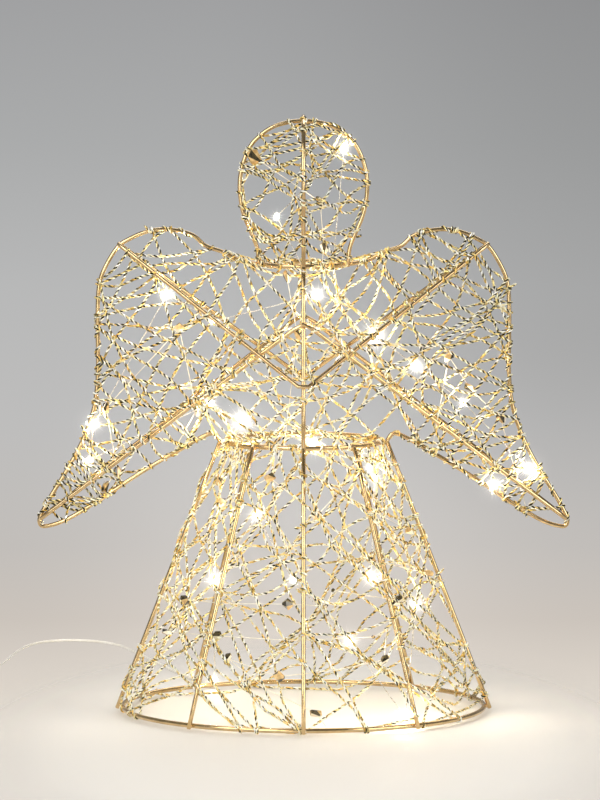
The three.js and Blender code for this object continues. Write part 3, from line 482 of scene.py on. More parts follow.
# Glitter thread: two twisted plies of metal foil, one gold and one pale silver. It is wound by hand
# from wire to wire, with a turn or two round each, and its cut ends stick out here and there. Some
# of a ply's six sides get painted shade, a dark foil for the shade between the plies and for dark
# reflections, and less of it where the small lamps light the thread.
THREAD_RADIUS = 0.8 * MM
THREAD_STEP = 1.1 * MM
THREAD_LOWEST = 1.3 * MM
PLY_OFFSET = 0.47 * MM
PLY_WIDE = 0.66 * MM
PLY_THICK = 0.45 * MM
PLY_SIDES = 6
PLY_UNEVEN = 0.25
TWIST_LENGTH = 8.4 * MM
TWIST_UNEVEN = 0.10
# Painted shade on the thread: the sides that get the dark foil, how often they change, how much.
SHADED_SIDES = (1, 2, 3)
WIDE_SHADED_SIDES = (1, 2, 3, 4)
SHADE_CHANGES = 0.6
SHADE_SHARE = 0.95
LIT_SHADE_SHARE = 0.58
WIDE_SHADE_SHARE = 0.7

foil_flakes, flakes_in, flakes_out = new_effect(
    "foil_flakes", {"Scale": 520, "Tilt": 0.5}, {"Tone": "NodeSocketFloat", "Normal": "NodeSocketVector"})
where = place_node(foil_flakes, "ShaderNodeTexCoord")
cells = place_node(foil_flakes, "ShaderNodeTexVoronoi", {
    "Vector": where.outputs["Object"], "Scale": flakes_in.outputs["Scale"]})
split = place_node(foil_flakes, "ShaderNodeSeparateColor", {"Color": cells.outputs["Color"]})
centred = place_node(foil_flakes, "ShaderNodeVectorMath", {0: cells.outputs["Color"], 1: (0.5, 0.5, 0.5)},
                     operation="SUBTRACT")
tilted = place_node(foil_flakes, "ShaderNodeVectorMath",
                    {0: centred.outputs["Vector"], "Scale": flakes_in.outputs["Tilt"]}, operation="SCALE")
shape = place_node(foil_flakes, "ShaderNodeNewGeometry")
leaning = place_node(foil_flakes, "ShaderNodeVectorMath",
                     {0: shape.outputs["Normal"], 1: tilted.outputs["Vector"]}, operation="ADD")
facing = place_node(foil_flakes, "ShaderNodeVectorMath",
                    {0: leaning.outputs["Vector"]}, operation="NORMALIZE")
foil_flakes.links.new(split.outputs["Red"], flakes_out.inputs["Tone"])
foil_flakes.links.new(facing.outputs["Vector"], flakes_out.inputs["Normal"])


def foil(name, tones, roughness, metallic, scale=340):
    """Foil ply: each flake has one of a few tones and its own small tilt."""
    material, tree, shader = new_material(name, Metallic=metallic)
    flakes = place_effect(tree, foil_flakes, Scale=scale, Tilt=0.6)
    colour = tone_ramp(tree, flakes.outputs["Tone"], tones, "CONSTANT")
    rough = graded(tree, flakes.outputs["Tone"], 0.0, 1.0, *roughness)
    tree.links.new(colour, shader.inputs["Base Color"])
    tree.links.new(rough, shader.inputs["Roughness"])
    tree.links.new(flakes.outputs["Normal"], shader.inputs["Normal"])
    return material


gold_foil = foil("gold_foil", [
    (0.0, (0.66, 0.40, 0.08)), (0.12, (1.0, 0.66, 0.16)), (0.40, (1.0, 0.82, 0.34)),
    (0.68, (1.0, 0.96, 0.72))], roughness=(0.22, 0.45), metallic=0.35)
silver_foil = foil("silver_foil", [
    (0.0, (0.66, 0.54, 0.22)), (0.12, (1.0, 0.86, 0.46)), (0.36, (1.0, 0.95, 0.72)),
    (0.60, (1.0, 0.99, 0.92))], roughness=(0.20, 0.42), metallic=0.3)
# Painted shade: near-black foil, a few bright flecks, for shade between plies and dark reflections.
painted_shade_foil = foil("painted_shade_foil", [
    (0.0, (0.045, 0.040, 0.018)), (0.62, (0.15, 0.125, 0.05)), (0.80, (0.62, 0.44, 0.14)),
    (0.92, (1.0, 0.88, 0.52))], roughness=(0.20, 0.40), metallic=0.5, scale=300)

WRAP_PITCH = 2.1 * THREAD_RADIUS
WRAP_STEP = math.radians(32)
LEAST_WRAP = 0.05


def wrap(arriving, middle, leaving, along, radius, turns, prefer):
    """Points round a wire for a thread that arrives from one side and leaves to another, after at
    least that many turns. prefer is the side of the wire that the thread arrives on."""
    along = along.normalized()

    def square(direction):
        flat = direction - along * direction.dot(along)
        return flat.normalized() if flat.length > 1e-9 else along.orthogonal().normalized()

    entry, departure = square(middle - arriving), square(leaving - middle)
    start = along.cross(entry)
    sense = 1 if start.dot(prefer) > 0 else -1
    start = start * sense
    finish = along.cross(departure) * sense
    turning = along * -sense
    angle = math.atan2(start.cross(finish).dot(turning), start.dot(finish)) % (2 * math.pi)
    angle += 2 * math.pi * turns
    if angle < LEAST_WRAP:
        return [middle + start * radius]
    quarter = turning.cross(start)
    count = max(2, math.ceil(angle / WRAP_STEP))
    rise = WRAP_PITCH * angle / (2 * math.pi)
    heading = 1 if (leaving - arriving).dot(along) >= 0 else -1
    return [middle + (start * math.cos(angle * k / count) + quarter * math.sin(angle * k / count)) * radius
            + along * heading * rise * (k / count - 0.5) for k in range(count + 1)]


UP = Vector((0, 0, 1))
SHORTEST_BOWED = 14 * MM
BOW_STEPS = 8


def wound_line(stops, dice, bow, outward):
    """The line of a thread through its stops, with a slack bow in each span. A stop is (place,)
    where it only passes, or (place, wire direction, radius, turns, side) where it rounds a wire."""
    places = [stop[0] for stop in stops]
    rounds = []
    for i, stop in enumerate(stops):
        before = places[i - 1] if i else places[i] * 2 - places[i + 1]
        after = places[i + 1] if i + 1 < len(stops) else places[i] * 2 - places[i - 1]
        rounds.append([stop[0]] if len(stop) == 1 else wrap(before, stop[0], after, *stop[1:]))
    line = list(rounds[0])
    for points in rounds[1:]:
        start, end = line[-1], points[0]
        span = end - start
        if span.length > SHORTEST_BOWED:
            off = outward((start + end) / 2).normalized()
            beside = span.cross(off)
            lean = beside * dice.gauss(0, bow) + off * span.length * dice.gauss(0, bow / 4)
            snake = beside * dice.gauss(0, bow / 2)
            lean -= UP * span.length * bow * 0.5
            for k in range(1, BOW_STEPS):
                share = k / BOW_STEPS
                line.append(start.lerp(end, share) + lean * math.sin(math.pi * share)
                            + snake * math.sin(2 * math.pi * share))
        line += points
    return line


# How the thread is led: the spans tried each time, the squares that are counted, and what weighs
# against a place that is full, is crossed in the same direction, or has the thread wound on already.
TRIES = 140
TURN_BACKS = 400
PARALLEL = 0.93
CELL_STEP = 4 * MM
COARSE_CELLS = 3
LIES = 5
STOP_POINTS = 7
CELL_LOAD = 1.5
LIE_LOAD = 0.9
STOP_LOAD = 0.35
CHANCE = 0.3
TAIL = 6 * MM


def web(wires, total, reach, cell, allowed, seed, shares=None):
    """Stops of threads led from wire to wire, each time to where the fewest threads pass and the
    fewest run in the same direction. A thread that finds no way on is cut, with its end sticking out.
    cell gives the small square that a place lies in, and allowed says whether a span may be led."""
    dice = random.Random(seed)
    lines = [even_line(wire, 1 * MM) for wire in wires]
    directions = [frames_along(line)[0] for line in lines]
    weights = [len(line) * share for line, share in zip(lines, shares or [1] * len(lines))]
    filled, lies, rounded = {}, {}, {}
    threads, stops, length, turned_back = [], [], 0.0, 0
    wire, index = 0, len(lines[0]) // 2

    def any_way(most):
        return Vector([dice.uniform(-most, most) for _ in range(3)])

    def tail(place, away):
        stray = any_way(0.6)
        return (place + (away.normalized() + stray).normalized() * TAIL * dice.uniform(0.7, 1.2),)

    def cut(stops):
        if len(stops) > 2:
            threads.append([*stops, tail(stops[-1][0], stops[-1][0] - stops[-2][0])])

    while length < total and turned_back < TURN_BACKS:
        here, along = Vector(lines[wire][index]), Vector(directions[wire][index])
        best = None
        for _ in range(TRIES):
            other = dice.choices(range(len(lines)), weights)[0]
            spot = dice.randrange(2, len(lines[other]) - 2)
            place, heading = Vector(lines[other][spot]), Vector(directions[other][spot])
            span = place - here
            if other == wire or not reach[0] < span.length < reach[1] or not allowed(here, place):
                continue
            course = span.normalized()
            if max(abs(course.dot(along)), abs(course.dot(heading))) > PARALLEL:
                continue
            steps = max(2, round(span.length / CELL_STEP))
            cells = [cell(here.lerp(place, k / steps)) for k in range(1, steps)]
            (ax, ay), (bx, by) = cells[0], cells[-1]
            lie = round(math.atan2(by - ay, bx - ax) / (math.pi / LIES)) % LIES
            coarse = {(x // COARSE_CELLS, y // COARSE_CELLS, lie) for x, y in cells}
            cost = (sum(filled.get(c, 0) ** CELL_LOAD for c in cells) / len(cells)
                    + LIE_LOAD * sum(lies.get(c, 0) for c in coarse) / len(coarse)
                    + STOP_LOAD * rounded.get((other, spot // STOP_POINTS), 0) + dice.uniform(0, CHANCE))
            if best is None or cost < best[0]:
                best = (cost, other, spot, cells, coarse, span)
        if best is None:
            cut(stops)
            stops = []
            turned_back += 1
            wire = dice.choices(range(len(lines)), weights)[0]
            index = dice.randrange(4, len(lines[wire]) - 4)
            continue
        _, wire, index, cells, coarse, span = best
        for c in cells:
            filled[c] = filled.get(c, 0) + 1
        for c in coarse:
            lies[c] = lies.get(c, 0) + 1
        stretch = (wire, index // STOP_POINTS)
        rounded[stretch] = rounded.get(stretch, 0) + 1
        if not stops:
            stops.append(tail(here, -span))
        stops.append((here, along, WIRE_WRAP, dice.choice((0, 0, 0, 1)), any_way(1)))
        length += span.length
    cut(stops)
    return threads


def radial(place):
    """The way straight out from the figure's axis."""
    return Vector((place.x, place.y, 0))


def face_on(place):
    return Vector((0, 1, 0))


def ply_meshes(line, dice, shade_share):
    """Two flattened plies twisted round each other along a line, as (vertices, faces, shade marks).
    The marks tell the faces that get painted shade, the dark foil, on the sides of the plies."""
    points = even_line(line, THREAD_STEP)
    points[:, 2] = np.maximum(points[:, 2], THREAD_LOWEST)
    tangents, across, upward = frames_along(points)
    length = np.arange(len(points)) * THREAD_STEP
    wobble = np.cumsum(np.array([dice.gauss(0, TWIST_UNEVEN) for _ in points]))
    phase = 2 * math.pi * length / TWIST_LENGTH + wobble
    sections = np.arange(PLY_SIDES) * 2 * math.pi / PLY_SIDES
    parts = []
    for start in (0.0, math.pi):
        lumps = np.array([1 + dice.uniform(-PLY_UNEVEN, PLY_UNEVEN) for _ in points])
        lumps[0] = lumps[-1] = 0.5
        angle = phase + start
        out = across * np.cos(angle)[:, None] + upward * np.sin(angle)[:, None]
        side = upward * np.cos(angle)[:, None] - across * np.sin(angle)[:, None]
        middle = points + out * PLY_OFFSET
        rings = (middle[:, None]
                 + out[:, None] * (np.cos(sections) * PLY_THICK)[None, :, None] * lumps[:, None, None]
                 + side[:, None] * (np.sin(sections) * PLY_WIDE)[None, :, None] * lumps[:, None, None])
        shade_marks, dark_sides = [], SHADED_SIDES
        for _ in points[1:]:
            if dice.random() < SHADE_CHANGES:
                dark_sides = SHADED_SIDES if dice.random() < shade_share else ()
                if dice.random() < WIDE_SHADE_SHARE * shade_share**2:
                    dark_sides = WIDE_SHADED_SIDES
            shade_marks += [k in dark_sides for k in range(PLY_SIDES)]
        parts.append((rings.reshape(-1, 3), skin(len(points), PLY_SIDES), [*shade_marks, True, True]))
    return parts


def give_tints(piece, tints, indices):
    """Puts more materials on a piece, and says which face has which."""
    for tint in tints:
        piece.data.materials.append(tint)
    piece.data.polygons.foreach_set("material_index", indices)


def add_thread(name, lines, dice, replaced=(), shade_share=SHADE_SHARE):
    """Thread along several lines as one piece: gold foil on one ply, silver foil on the other, and
    painted shade, a dark foil, on some sides of both."""
    plies = [part for line in lines for part in ply_meshes(line, dice, shade_share)]
    piece = add_piece(name, [part[:2] for part in plies], gold_foil, replaced)
    give_tints(piece, [silver_foil, painted_shade_foil], [
        2 if shaded else k % 2 for k, (_, _, shade_marks) in enumerate(plies) for shaded in shade_marks])


PRESSED = 0.42 * MM
RING_WRAP = RING_WIRE * WIRE_LOOK + PRESSED
WIRE_WRAP = FRAME_WIRE * WIRE_LOOK + PRESSED
LAP_PITCH = 11 * MM


def lap(wire, start, reach, radius):
    """A stretch of thread that winds along a wire, from start on and as far as reach."""
    first, last = round(start / BEND_STEP), round((start + reach) / BEND_STEP)
    line = even_line(wire, BEND_STEP)[first:last]
    tangents, across, upward = frames_along(line)
    turns = np.arange(len(line)) * BEND_STEP / LAP_PITCH * 2 * math.pi
    return line + (across * np.cos(turns)[:, None] + upward * np.sin(turns)[:, None]) * radius


def ring_stop(radius, height, turn, turns, side):
    tangent = Vector((math.cos(turn), math.sin(turn), 0))
    return (polar(radius, turn, height), tangent, RING_WRAP, turns, side)


# Skirt winding: sixteen slanting passes over both rings, down outside the struts and back up
# inside them, then more thread led round the skirt from strut to strut at every height.
SKIRT_LEAN = 5.5
SWAY_DEGREES = 11
SKIRT_HANG = 7 * MM
PASSES_PER_GAP = 2
turns_in_order = list(STRUT_TURNS.values())
passes = PASSES_PER_GAP * len(turns_in_order)


def skirt_pass_turn(index):
    """Where a pass stands on the rings. The passes keep clear of the struts."""
    rounds, within = divmod(index, passes)
    gap, place = divmod(within, PASSES_PER_GAP)
    start = turns_in_order[gap]
    end = [*turns_in_order, 360][gap + 1]
    return math.radians(start + (end - start) * (place + 1) / (PASSES_PER_GAP + 1) + 360 * rounds)


def skirt_turn(place):
    low = math.floor(place)
    return skirt_pass_turn(low) + (skirt_pass_turn(low + 1) - skirt_pass_turn(low)) * (place - low)


outer_lie = (FRAME_WIRE + CLEARANCE + THREAD_RADIUS) * math.hypot(1, SKIRT_SLOPE) + 0.6 * MM
inner_lie = RING_WIRE + 2 * THREAD_RADIUS


def inside_skirt(rise):
    """The radius and the height of the passes inside the struts, at a share of the way up."""
    return (BASE_RADIUS + (WAIST_RADIUS - BASE_RADIUS) * rise - inner_lie,
            BASE_HEIGHT + (WAIST_HEIGHT - BASE_HEIGHT) * rise)


dice = random.Random(11)
stops = []
for index in range(passes):
    lean = SKIRT_LEAN + dice.uniform(-1.3, 1.0)
    top_turn = skirt_turn(index) + math.radians(dice.uniform(-4, 4))
    foot_turn = skirt_turn(index + lean)
    inward = -polar(1, top_turn, 0)
    outward = polar(1, foot_turn, 0)
    stops.append(ring_stop(WAIST_RADIUS, WAIST_HEIGHT, top_turn, dice.choice((0, 1)), inward))
    sway = math.radians(dice.uniform(-SWAY_DEGREES, SWAY_DEGREES))
    for share in (0.15, 0.35, 0.55, 0.75, 0.92):
        height = WAIST_HEIGHT + (BASE_HEIGHT - WAIST_HEIGHT) * share
        turn = skirt_turn(index + lean * share) + sway * math.sin(math.pi * share)
        stops.append((polar(skirt_radius(height) + outer_lie, turn, height),))
    stops.append(ring_stop(BASE_RADIUS, BASE_HEIGHT, foot_turn, dice.choice((0, 0, 1)), outward))
    sway = math.radians(dice.uniform(-SWAY_DEGREES, SWAY_DEGREES))
    for share in (0.1, 0.3, 0.5, 0.7, 0.9):
        radius, height = inside_skirt(share)
        turn = skirt_turn(index + lean + (1 - lean) * share) + sway * math.sin(math.pi * share)
        stops.append((polar(radius - SKIRT_HANG * math.sin(math.pi * share), turn, height),))
skirt_line = smooth_line(wound_line(stops, dice, bow=0, outward=radial), 2 * MM)
add_thread("skirt_winding", [skirt_line], dice, ["skirt_thread"], LIT_SHADE_SHARE)


def half_ring(radius, height, face):
    """The front or the rear half of a ring, a little short of both its ends."""
    turns = [face * math.pi * (0.04 + 0.92 * k / 30) for k in range(31)]
    return [Vector((radius * math.cos(turn), radius * math.sin(turn), height)) for turn in turns]


CELL_WIDE = 7 * MM
CELL_SIDE = 5 * MM


def by_turn(place):
    """The cell of the round skirt that a place lies in."""
    around = math.atan2(place.x, -place.y) * math.hypot(place.x, place.y)
    return (round(around / CELL_WIDE), round(place.z / CELL_SIDE))


def next_strut(here, place):
    """Strut to strut, and no steeper than about forty-five degrees."""
    flat = radial(place) - radial(here)
    near = radial(here).angle(radial(place)) < math.radians(57)
    return near and abs(place.z - here.z) < 0.85 * flat.length


dice = random.Random(23)
# The rear web gets much less painted shade than the front.
for name, face, total, shade_share in (("front", -1, 3.1, LIT_SHADE_SHARE), ("rear", 1, 2.6, 0.35)):
    wires = [ends for ends in strut_lines.values() if ends[0].y * face > -5 * MM]
    wires += [half_ring(BASE_RADIUS, BASE_HEIGHT, face), half_ring(WAIST_RADIUS, WAIST_HEIGHT, face)]
    threads = web(wires, total, reach=(34 * MM, 120 * MM), cell=by_turn, allowed=next_strut,
                  seed=29 + face)
    lines = [wound_line(stops, dice, bow=0.085, outward=radial) for stops in threads]
    add_thread(f"skirt_web_{name}", lines, dice, shade_share=shade_share)


# Torso winding: thread led at random over the front and over the rear, between the two rings, the
# struts, the ridges and the roots of the wings, and along both rings.
def on_grid(place):
    """The cell of a flat face, front or rear, that a place lies in."""
    return (round(place.x / CELL_SIDE), round(place.z / CELL_SIDE))


def slanting(here, place):
    return abs(place.x - here.x) > 0.5 * abs(place.z - here.z)


STOPS_ROUND = 9
WING_ROOT = slice(3, 24)
dice = random.Random(31)
torso_lines = []
for face in (-1, 1):
    strut = [Vector((0, face * torso_radius(height), height)) for height in (WAIST_HEIGHT, NECK_HEIGHT)]
    wires = [half_ring(WAIST_RADIUS, WAIST_HEIGHT, face), half_ring(NECK_RADIUS, NECK_HEIGHT, face), strut]
    for word in RIDGES:
        for side in (-1, 1):
            middle, end = ridge_side(side, face, word)
            wires.append([middle.lerp(end, 0.03), middle.lerp(end, 0.42)])
    for side in (-1, 1):
        wires.append(wing_outline(side)[WING_ROOT])
    shares = [0.6, 0.4, *[1] * (len(wires) - 2)]
    threads = web(wires, total=2.2, reach=(26 * MM, 110 * MM), cell=on_grid, allowed=slanting,
                  seed=37 + face, shares=shares)
    torso_lines += [wound_line(stops, dice, bow=0.06, outward=face_on) for stops in threads]
for radius, height in ((WAIST_RADIUS, WAIST_HEIGHT), (NECK_RADIUS, NECK_HEIGHT)):
    stops = []
    for k in range(STOPS_ROUND + 1):
        turn = 2 * math.pi * (k + dice.uniform(-0.3, 0.3)) / STOPS_ROUND
        stops.append(ring_stop(radius, height, turn, 0, UP * dice.choice((1, -1))))
    torso_lines.append(wound_line(stops, dice, bow=0.03, outward=radial))
add_thread("torso_winding", torso_lines, dice, ["torso_thread"], LIT_SHADE_SHARE)


# Head winding: thread led at random between the four legs of the two arches and the neck ring,
# over the front and over the rear.
def arch_leg(arch, rising):
    half = len(arch) // 2
    return arch[2:half - 2] if rising else arch[half + 2:-2]


def anywhere(here, place):
    return True


dice = random.Random(47)
head_lines = []
for face in (-1, 1):
    wires = [arch_leg(front_arch, face < 0), arch_leg(side_arch, True), arch_leg(side_arch, False),
             half_ring(NECK_RADIUS, NECK_HEIGHT, face)]
    threads = web(wires, total=1.45, reach=(16 * MM, 70 * MM), cell=on_grid, allowed=anywhere,
                  seed=53 + face)
    head_lines += [wound_line(stops, dice, bow=0.08, outward=radial) for stops in threads]
head_threads = [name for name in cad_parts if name.startswith("head_thread")]
add_thread("head_winding", head_lines, dice, head_threads)


# Wing windings: thread led at random between the outline and the ridge wires on both their sides,
# closer towards the tip, with a few laps along the outline itself.
def inside_wing(side):
    """A test that says whether a straight span stays inside the wing's outline."""
    outline = [(place.x, place.z) for place in wing_outline(side)]
    outline.append((0, NECK_HEIGHT / 2 + WAIST_HEIGHT / 2))

    def holds(x, z):
        odd = False
        for (ax, az), (bx, bz) in zip(outline, [*outline[1:], outline[0]]):
            if (az > z) != (bz > z) and x < ax + (bx - ax) * (z - az) / (bz - az):
                odd = not odd
        return odd

    def allowed(here, place):
        middles = [here.lerp(place, share) for share in (0.12, 0.3, 0.5, 0.7, 0.88)]
        return all(holds(middle.x, middle.z) for middle in middles)

    return allowed


RIDGE_SHARE = 0.35
TIP_POINTS = 50
TIP_FREE = 5
OUTLINE_LAPS = [(48, 30), (150, 42), (206, 26), (262, 40), (330, 34), (400, 38)]
for name, side, seed, total in (("left", -1, 61, 4.0), ("right", 1, 67, 4.7)):
    dice = random.Random(seed)
    outline = wing_outline(side)
    tip = max(range(len(outline)), key=lambda k: abs(outline[k].x))
    wires = [outline[6:tip // 2], outline[tip // 2:tip - TIP_FREE], outline[tip + TIP_FREE:-4]]
    shares = [1, 1, 1, *[RIDGE_SHARE] * 4]
    for word in RIDGES:
        for face in (-1, 1):
            middle, end = ridge_side(side, face, word)
            wires.append([middle.lerp(end, 0.22), middle.lerp(end, 0.97)])
    inside = inside_wing(side)

    def slanting_inside(here, place):
        return slanting(here, place) and inside(here, place)

    threads = web(wires, total, reach=(24 * MM, 125 * MM), cell=on_grid, allowed=slanting_inside,
                  seed=seed, shares=shares)
    wires = [outline[tip - TIP_POINTS:tip - TIP_FREE], outline[tip + TIP_FREE:tip + TIP_POINTS]]
    threads += web(wires, total=0.2, reach=(10 * MM, 45 * MM), cell=on_grid, allowed=inside,
                   seed=seed + 1)
    lines = [wound_line(stops, dice, bow=0.055, outward=face_on) for stops in threads]
    lines += [lap(outline, start * MM, reach * MM, WIRE_WRAP) for start, reach in OUTLINE_LAPS]
    add_thread(f"wing_winding_{name}", lines, dice, [f"wing_thread_{name}"])


# Light string: fine lacquered wire with a clear drop of resin over each small lamp, laid inside
# the windings and pushed through them. It starts at the sleeve behind the base ring.
LIGHT_WIRE = 0.3 * MM
WIRE_ROOM = 0.4 * MM
DROP_ROOM = 2 * THREAD_RADIUS
LIGHT_INSET = THREAD_RADIUS + CLEARANCE + DROP_ROOM + WIRE_ROOM
TORSO_INSET = FRAME_WIRE + CLEARANCE + THREAD_RADIUS + CLEARANCE + DROP_ROOM + 1 * MM
LIGHT_HANG = 9 * MM


def in_skirt(degrees, rise):
    """A place inside the skirt's threads, at a turn and a share of the way up."""
    radius, height = inside_skirt(rise)
    radius -= LIGHT_HANG * math.sin(math.pi * rise)
    return polar(radius - LIGHT_INSET, math.radians(degrees), height)


def in_torso(degrees, rise, inset=LIGHT_INSET):
    """The same for the torso."""
    height = WAIST_HEIGHT + (NECK_HEIGHT - WAIST_HEIGHT) * rise
    return polar(torso_radius(height) - TORSO_INSET - inset, math.radians(degrees), height)


def in_wing(side, reach, rise, depth=0.12):
    """A place in a wing, as shares of its reach, height and depth. The depth shrinks to the tip."""
    height = RIDGES["high"][0]
    room = torso_radius(height) + RIDGE_LIE + RIDGE_BOW
    return wing_place(side, (reach, rise), -depth * room * (1 - reach))


def in_head(wide, deep, rise):
    """A place in the head, as shares of its half width, half depth and height."""
    return Vector((wide * HEAD_HALF, deep * HEAD_HALF, NECK_HEIGHT + rise * HEAD_HEIGHT))


SLEEVE_RADIUS = 2.2 * MM
on_sleeve = UP * (SLEEVE_RADIUS + CLEARANCE + WIRE_ROOM)
DARK = 0
light_route = [
    (DARK, sleeve_start + SLEEVE_HEADING * 8 * MM + on_sleeve),
    (DARK, sleeve_start + SLEEVE_HEADING * 2.2 * MM + on_sleeve),
    (DARK, polar(BASE_RADIUS, SLEEVE_TURN, BASE_HEIGHT + RING_WIRE + CLEARANCE + 2 * WIRE_ROOM)),
    (0.6, in_skirt(-147, 0.03)), (1.1, in_skirt(-55, 0.5)), (1.0, in_skirt(-33, 0.75)),
    (0.6, in_skirt(-5.6, 0.52)), (1.0, in_skirt(20.4, 0.3)), (0.9, in_skirt(36.5, 0.03)),
    (1.05, in_skirt(72, 0.4)), (1.1, in_skirt(39.5, 0.52)), (0.8, in_skirt(67, 0.87)),
    (0.6, in_skirt(119, 0.885)), (DARK, in_skirt(62, 0.965)), (1.1, in_torso(7, 0.02)),
    (1.4, in_torso(-70, 0.125)), (0.8, in_wing(-1, 0.35, 0.416)), (0.65, in_wing(-1, 0.808, 0.223)),
    (1.0, in_wing(-1, 0.79, 0.345)), (1.0, in_wing(-1, 0.513, 0.783)),
    (0.55, in_wing(-1, 0.338, 0.692)), (1.1, in_torso(21, 0.84)), (0.6, in_head(-0.42, -0.38, 0.34)),
    (0.95, in_head(0.635, -0.05, 0.81)), (DARK, in_torso(67, 1)), (DARK, in_torso(70, 0.88)),
    (1.5, in_wing(1, 0.271, 0.642)), (1.05, in_wing(1, 0.426, 0.541)), (0.7, in_wing(1, 0.601, 0.419)),
    (1.1, in_wing(1, 0.85, 0.195)), (1.0, in_wing(1, 0.72, 0.14))]

DROP_PROFILE = [(-2.4, 0.35), (-1.9, 0.9), (-1.2, 1.4), (-0.3, 1.6),
                (0.6, 1.55), (1.4, 1.25), (2.0, 0.8), (2.4, 0.35)]
drops = []
lamps = []
for i, (size, place) in enumerate(light_route):
    if size == DARK:
        continue
    before = light_route[i - 1][1]
    after = light_route[i + 1][1] if i + 1 < len(light_route) else place * 2 - before
    heading = (after - before).normalized()
    line = [place + heading * along * MM for along, _ in DROP_PROFILE]
    drops.append(tube_mesh(line, np.array([radius * MM for _, radius in DROP_PROFILE]), 12))
    lamps.append((place, size))
WIRE_KINKS = 0.12 * MM
wire_line = even_line([place for _, place in light_route], 4 * MM)
dice = random.Random(5)
for k in range(1, len(wire_line) - 1):
    wire_line[k] += [dice.gauss(0, WIRE_KINKS) for _ in range(3)]

lacquered_wire = drifting_finish(
    "lacquered_wire", (0.92, 0.88, 0.80), (0.78, 0.70, 0.56), gloss=(0.2, 0.35), bump=0.1,
    scale=200, Metallic=0.8)
resin, tree, shader = new_material(
    "lit_resin", Roughness=0.12, IOR=1.5, Emission_Strength=9.0, Coat_Weight=0.5)
drift = place_effect(tree, surface_drift, Scale=700, Grain=1500)
warmth = tone_ramp(tree, drift.outputs["Tone"], [(0.0, (1.0, 0.83, 0.58)), (1.0, (1.0, 0.93, 0.78))])
tree.links.new(warmth, shader.inputs["Base Color"])
tree.links.new(warmth, shader.inputs["Emission Color"])
add_piece("light_wire", [tube_mesh(wire_line, LIGHT_WIRE, 6)], lacquered_wire)
add_piece("light_drops", drops, resin, ["light_string"])


# Beads: faceted double cones of smoky glass, and tiny ones of the same cut, threaded on fine yarn
# that is laid between the windings and tied to the wires at its ends. Their upper flats are mostly
# dark, their lower flats mostly amber and bright: painted light and painted glints.
YARN = 0.28 * MM
YARN_ROOM = 0.4 * MM
BEAD_ROOM = 3 * MM
BEAD_INSET = FRAME_WIRE + CLEARANCE + BEAD_ROOM + YARN_ROOM


def between_layers(degrees, rise):
    """A place between the outer and the inner passes of the skirt's thread."""
    _, height = inside_skirt(rise)
    return polar(skirt_radius(height) - BEAD_INSET, math.radians(degrees), height)


BEAD_SEAT = CLEARANCE + 2 * YARN_ROOM
waist_inside = WAIST_RADIUS - RING_WIRE - BEAD_SEAT
neck_inside = NECK_RADIUS - RING_WIRE - BEAD_SEAT
LARGE, BIG, SMALL, PASS = 6.4 * MM, 4.1 * MM, 1.6 * MM, 0
strands = {
    "skirt": [
        (PASS, polar(WAIST_RADIUS, math.radians(-66), WAIST_HEIGHT - RING_WIRE - BEAD_SEAT)),
        *[(size, between_layers(degrees, rise)) for size, degrees, rise in (
            (BIG, -72, 0.865), (BIG, -57, 0.789), (BIG, -22.5, 0.892), (BIG, 7.6, 0.759),
            (SMALL, 19.4, 0.825), (PASS, 48, 0.75), (BIG, 75, 0.674), (BIG, 81, 0.509),
            (BIG, 34.5, 0.591), (BIG, 44, 0.442), (SMALL, 13, 0.492), (SMALL, 9.5, 0.437),
            (BIG, -6.6, 0.444), (PASS, -34, 0.436), (BIG, -61, 0.429), (BIG, -68, 0.305),
            (BIG, -36, 0.32), (PASS, -4, 0.315), (SMALL, 28, 0.321), (SMALL, 34.5, 0.342),
            (BIG, 31, 0.238), (PASS, 12, 0.21), (BIG, -8.7, 0.188), (BIG, -29, 0.243),
            (PASS, -12, 0.14), (BIG, 4, 0.06))],
        (PASS, polar(BASE_RADIUS, math.radians(7), BASE_HEIGHT + RING_WIRE + BEAD_SEAT))],
    "torso": [
        (PASS, polar(neck_inside, math.radians(-25), NECK_HEIGHT)),
        (BIG, in_torso(-29, 0.94, 3 * MM)), (BIG, in_torso(-8, 0.62, BEAD_INSET)),
        (PASS, polar(waist_inside, math.radians(-15), WAIST_HEIGHT))],
    "head": [
        (PASS, polar(neck_inside, math.radians(30), NECK_HEIGHT)), (BIG, in_head(0.32, -0.36, 0.124)),
        (BIG, in_head(0.26, -0.47, 0.446)), (LARGE, in_head(-0.765, 0, 0.745)),
        (PASS, in_head(-0.82, 0, 0.79))],
    "wing_left": [
        (PASS, in_wing(-1, 0.486, 0.2605, 0)), (BIG, in_wing(-1, 0.404, 0.388, -0.25)),
        (BIG, in_wing(-1, 0.468, 0.665, -0.25)), (BIG, in_wing(-1, 0.745, 0.398, -0.25)),
        (BIG, in_wing(-1, 0.703, 0.182, -0.25)), (BIG, in_wing(-1, 0.749, 0.131, -0.25)),
        (PASS, in_wing(-1, 0.795, 0.0885, 0))],
    "wing_right": [
        (PASS, in_wing(1, 0.486, 0.2605, 0)), (BIG, in_wing(1, 0.549, 0.57, -0.25)),
        (BIG, in_wing(1, 0.628, 0.465, -0.25)), (BIG, in_wing(1, 0.745, 0.361, -0.25)),
        (BIG, in_wing(1, 0.799, 0.188, -0.25)), (PASS, in_wing(1, 0.84, 0.066, 0))]}


BEAD_PROFILE = [(-0.88, 0.3), (0, 1), (0.88, 0.3)]
BEAD_CORNERS = 6


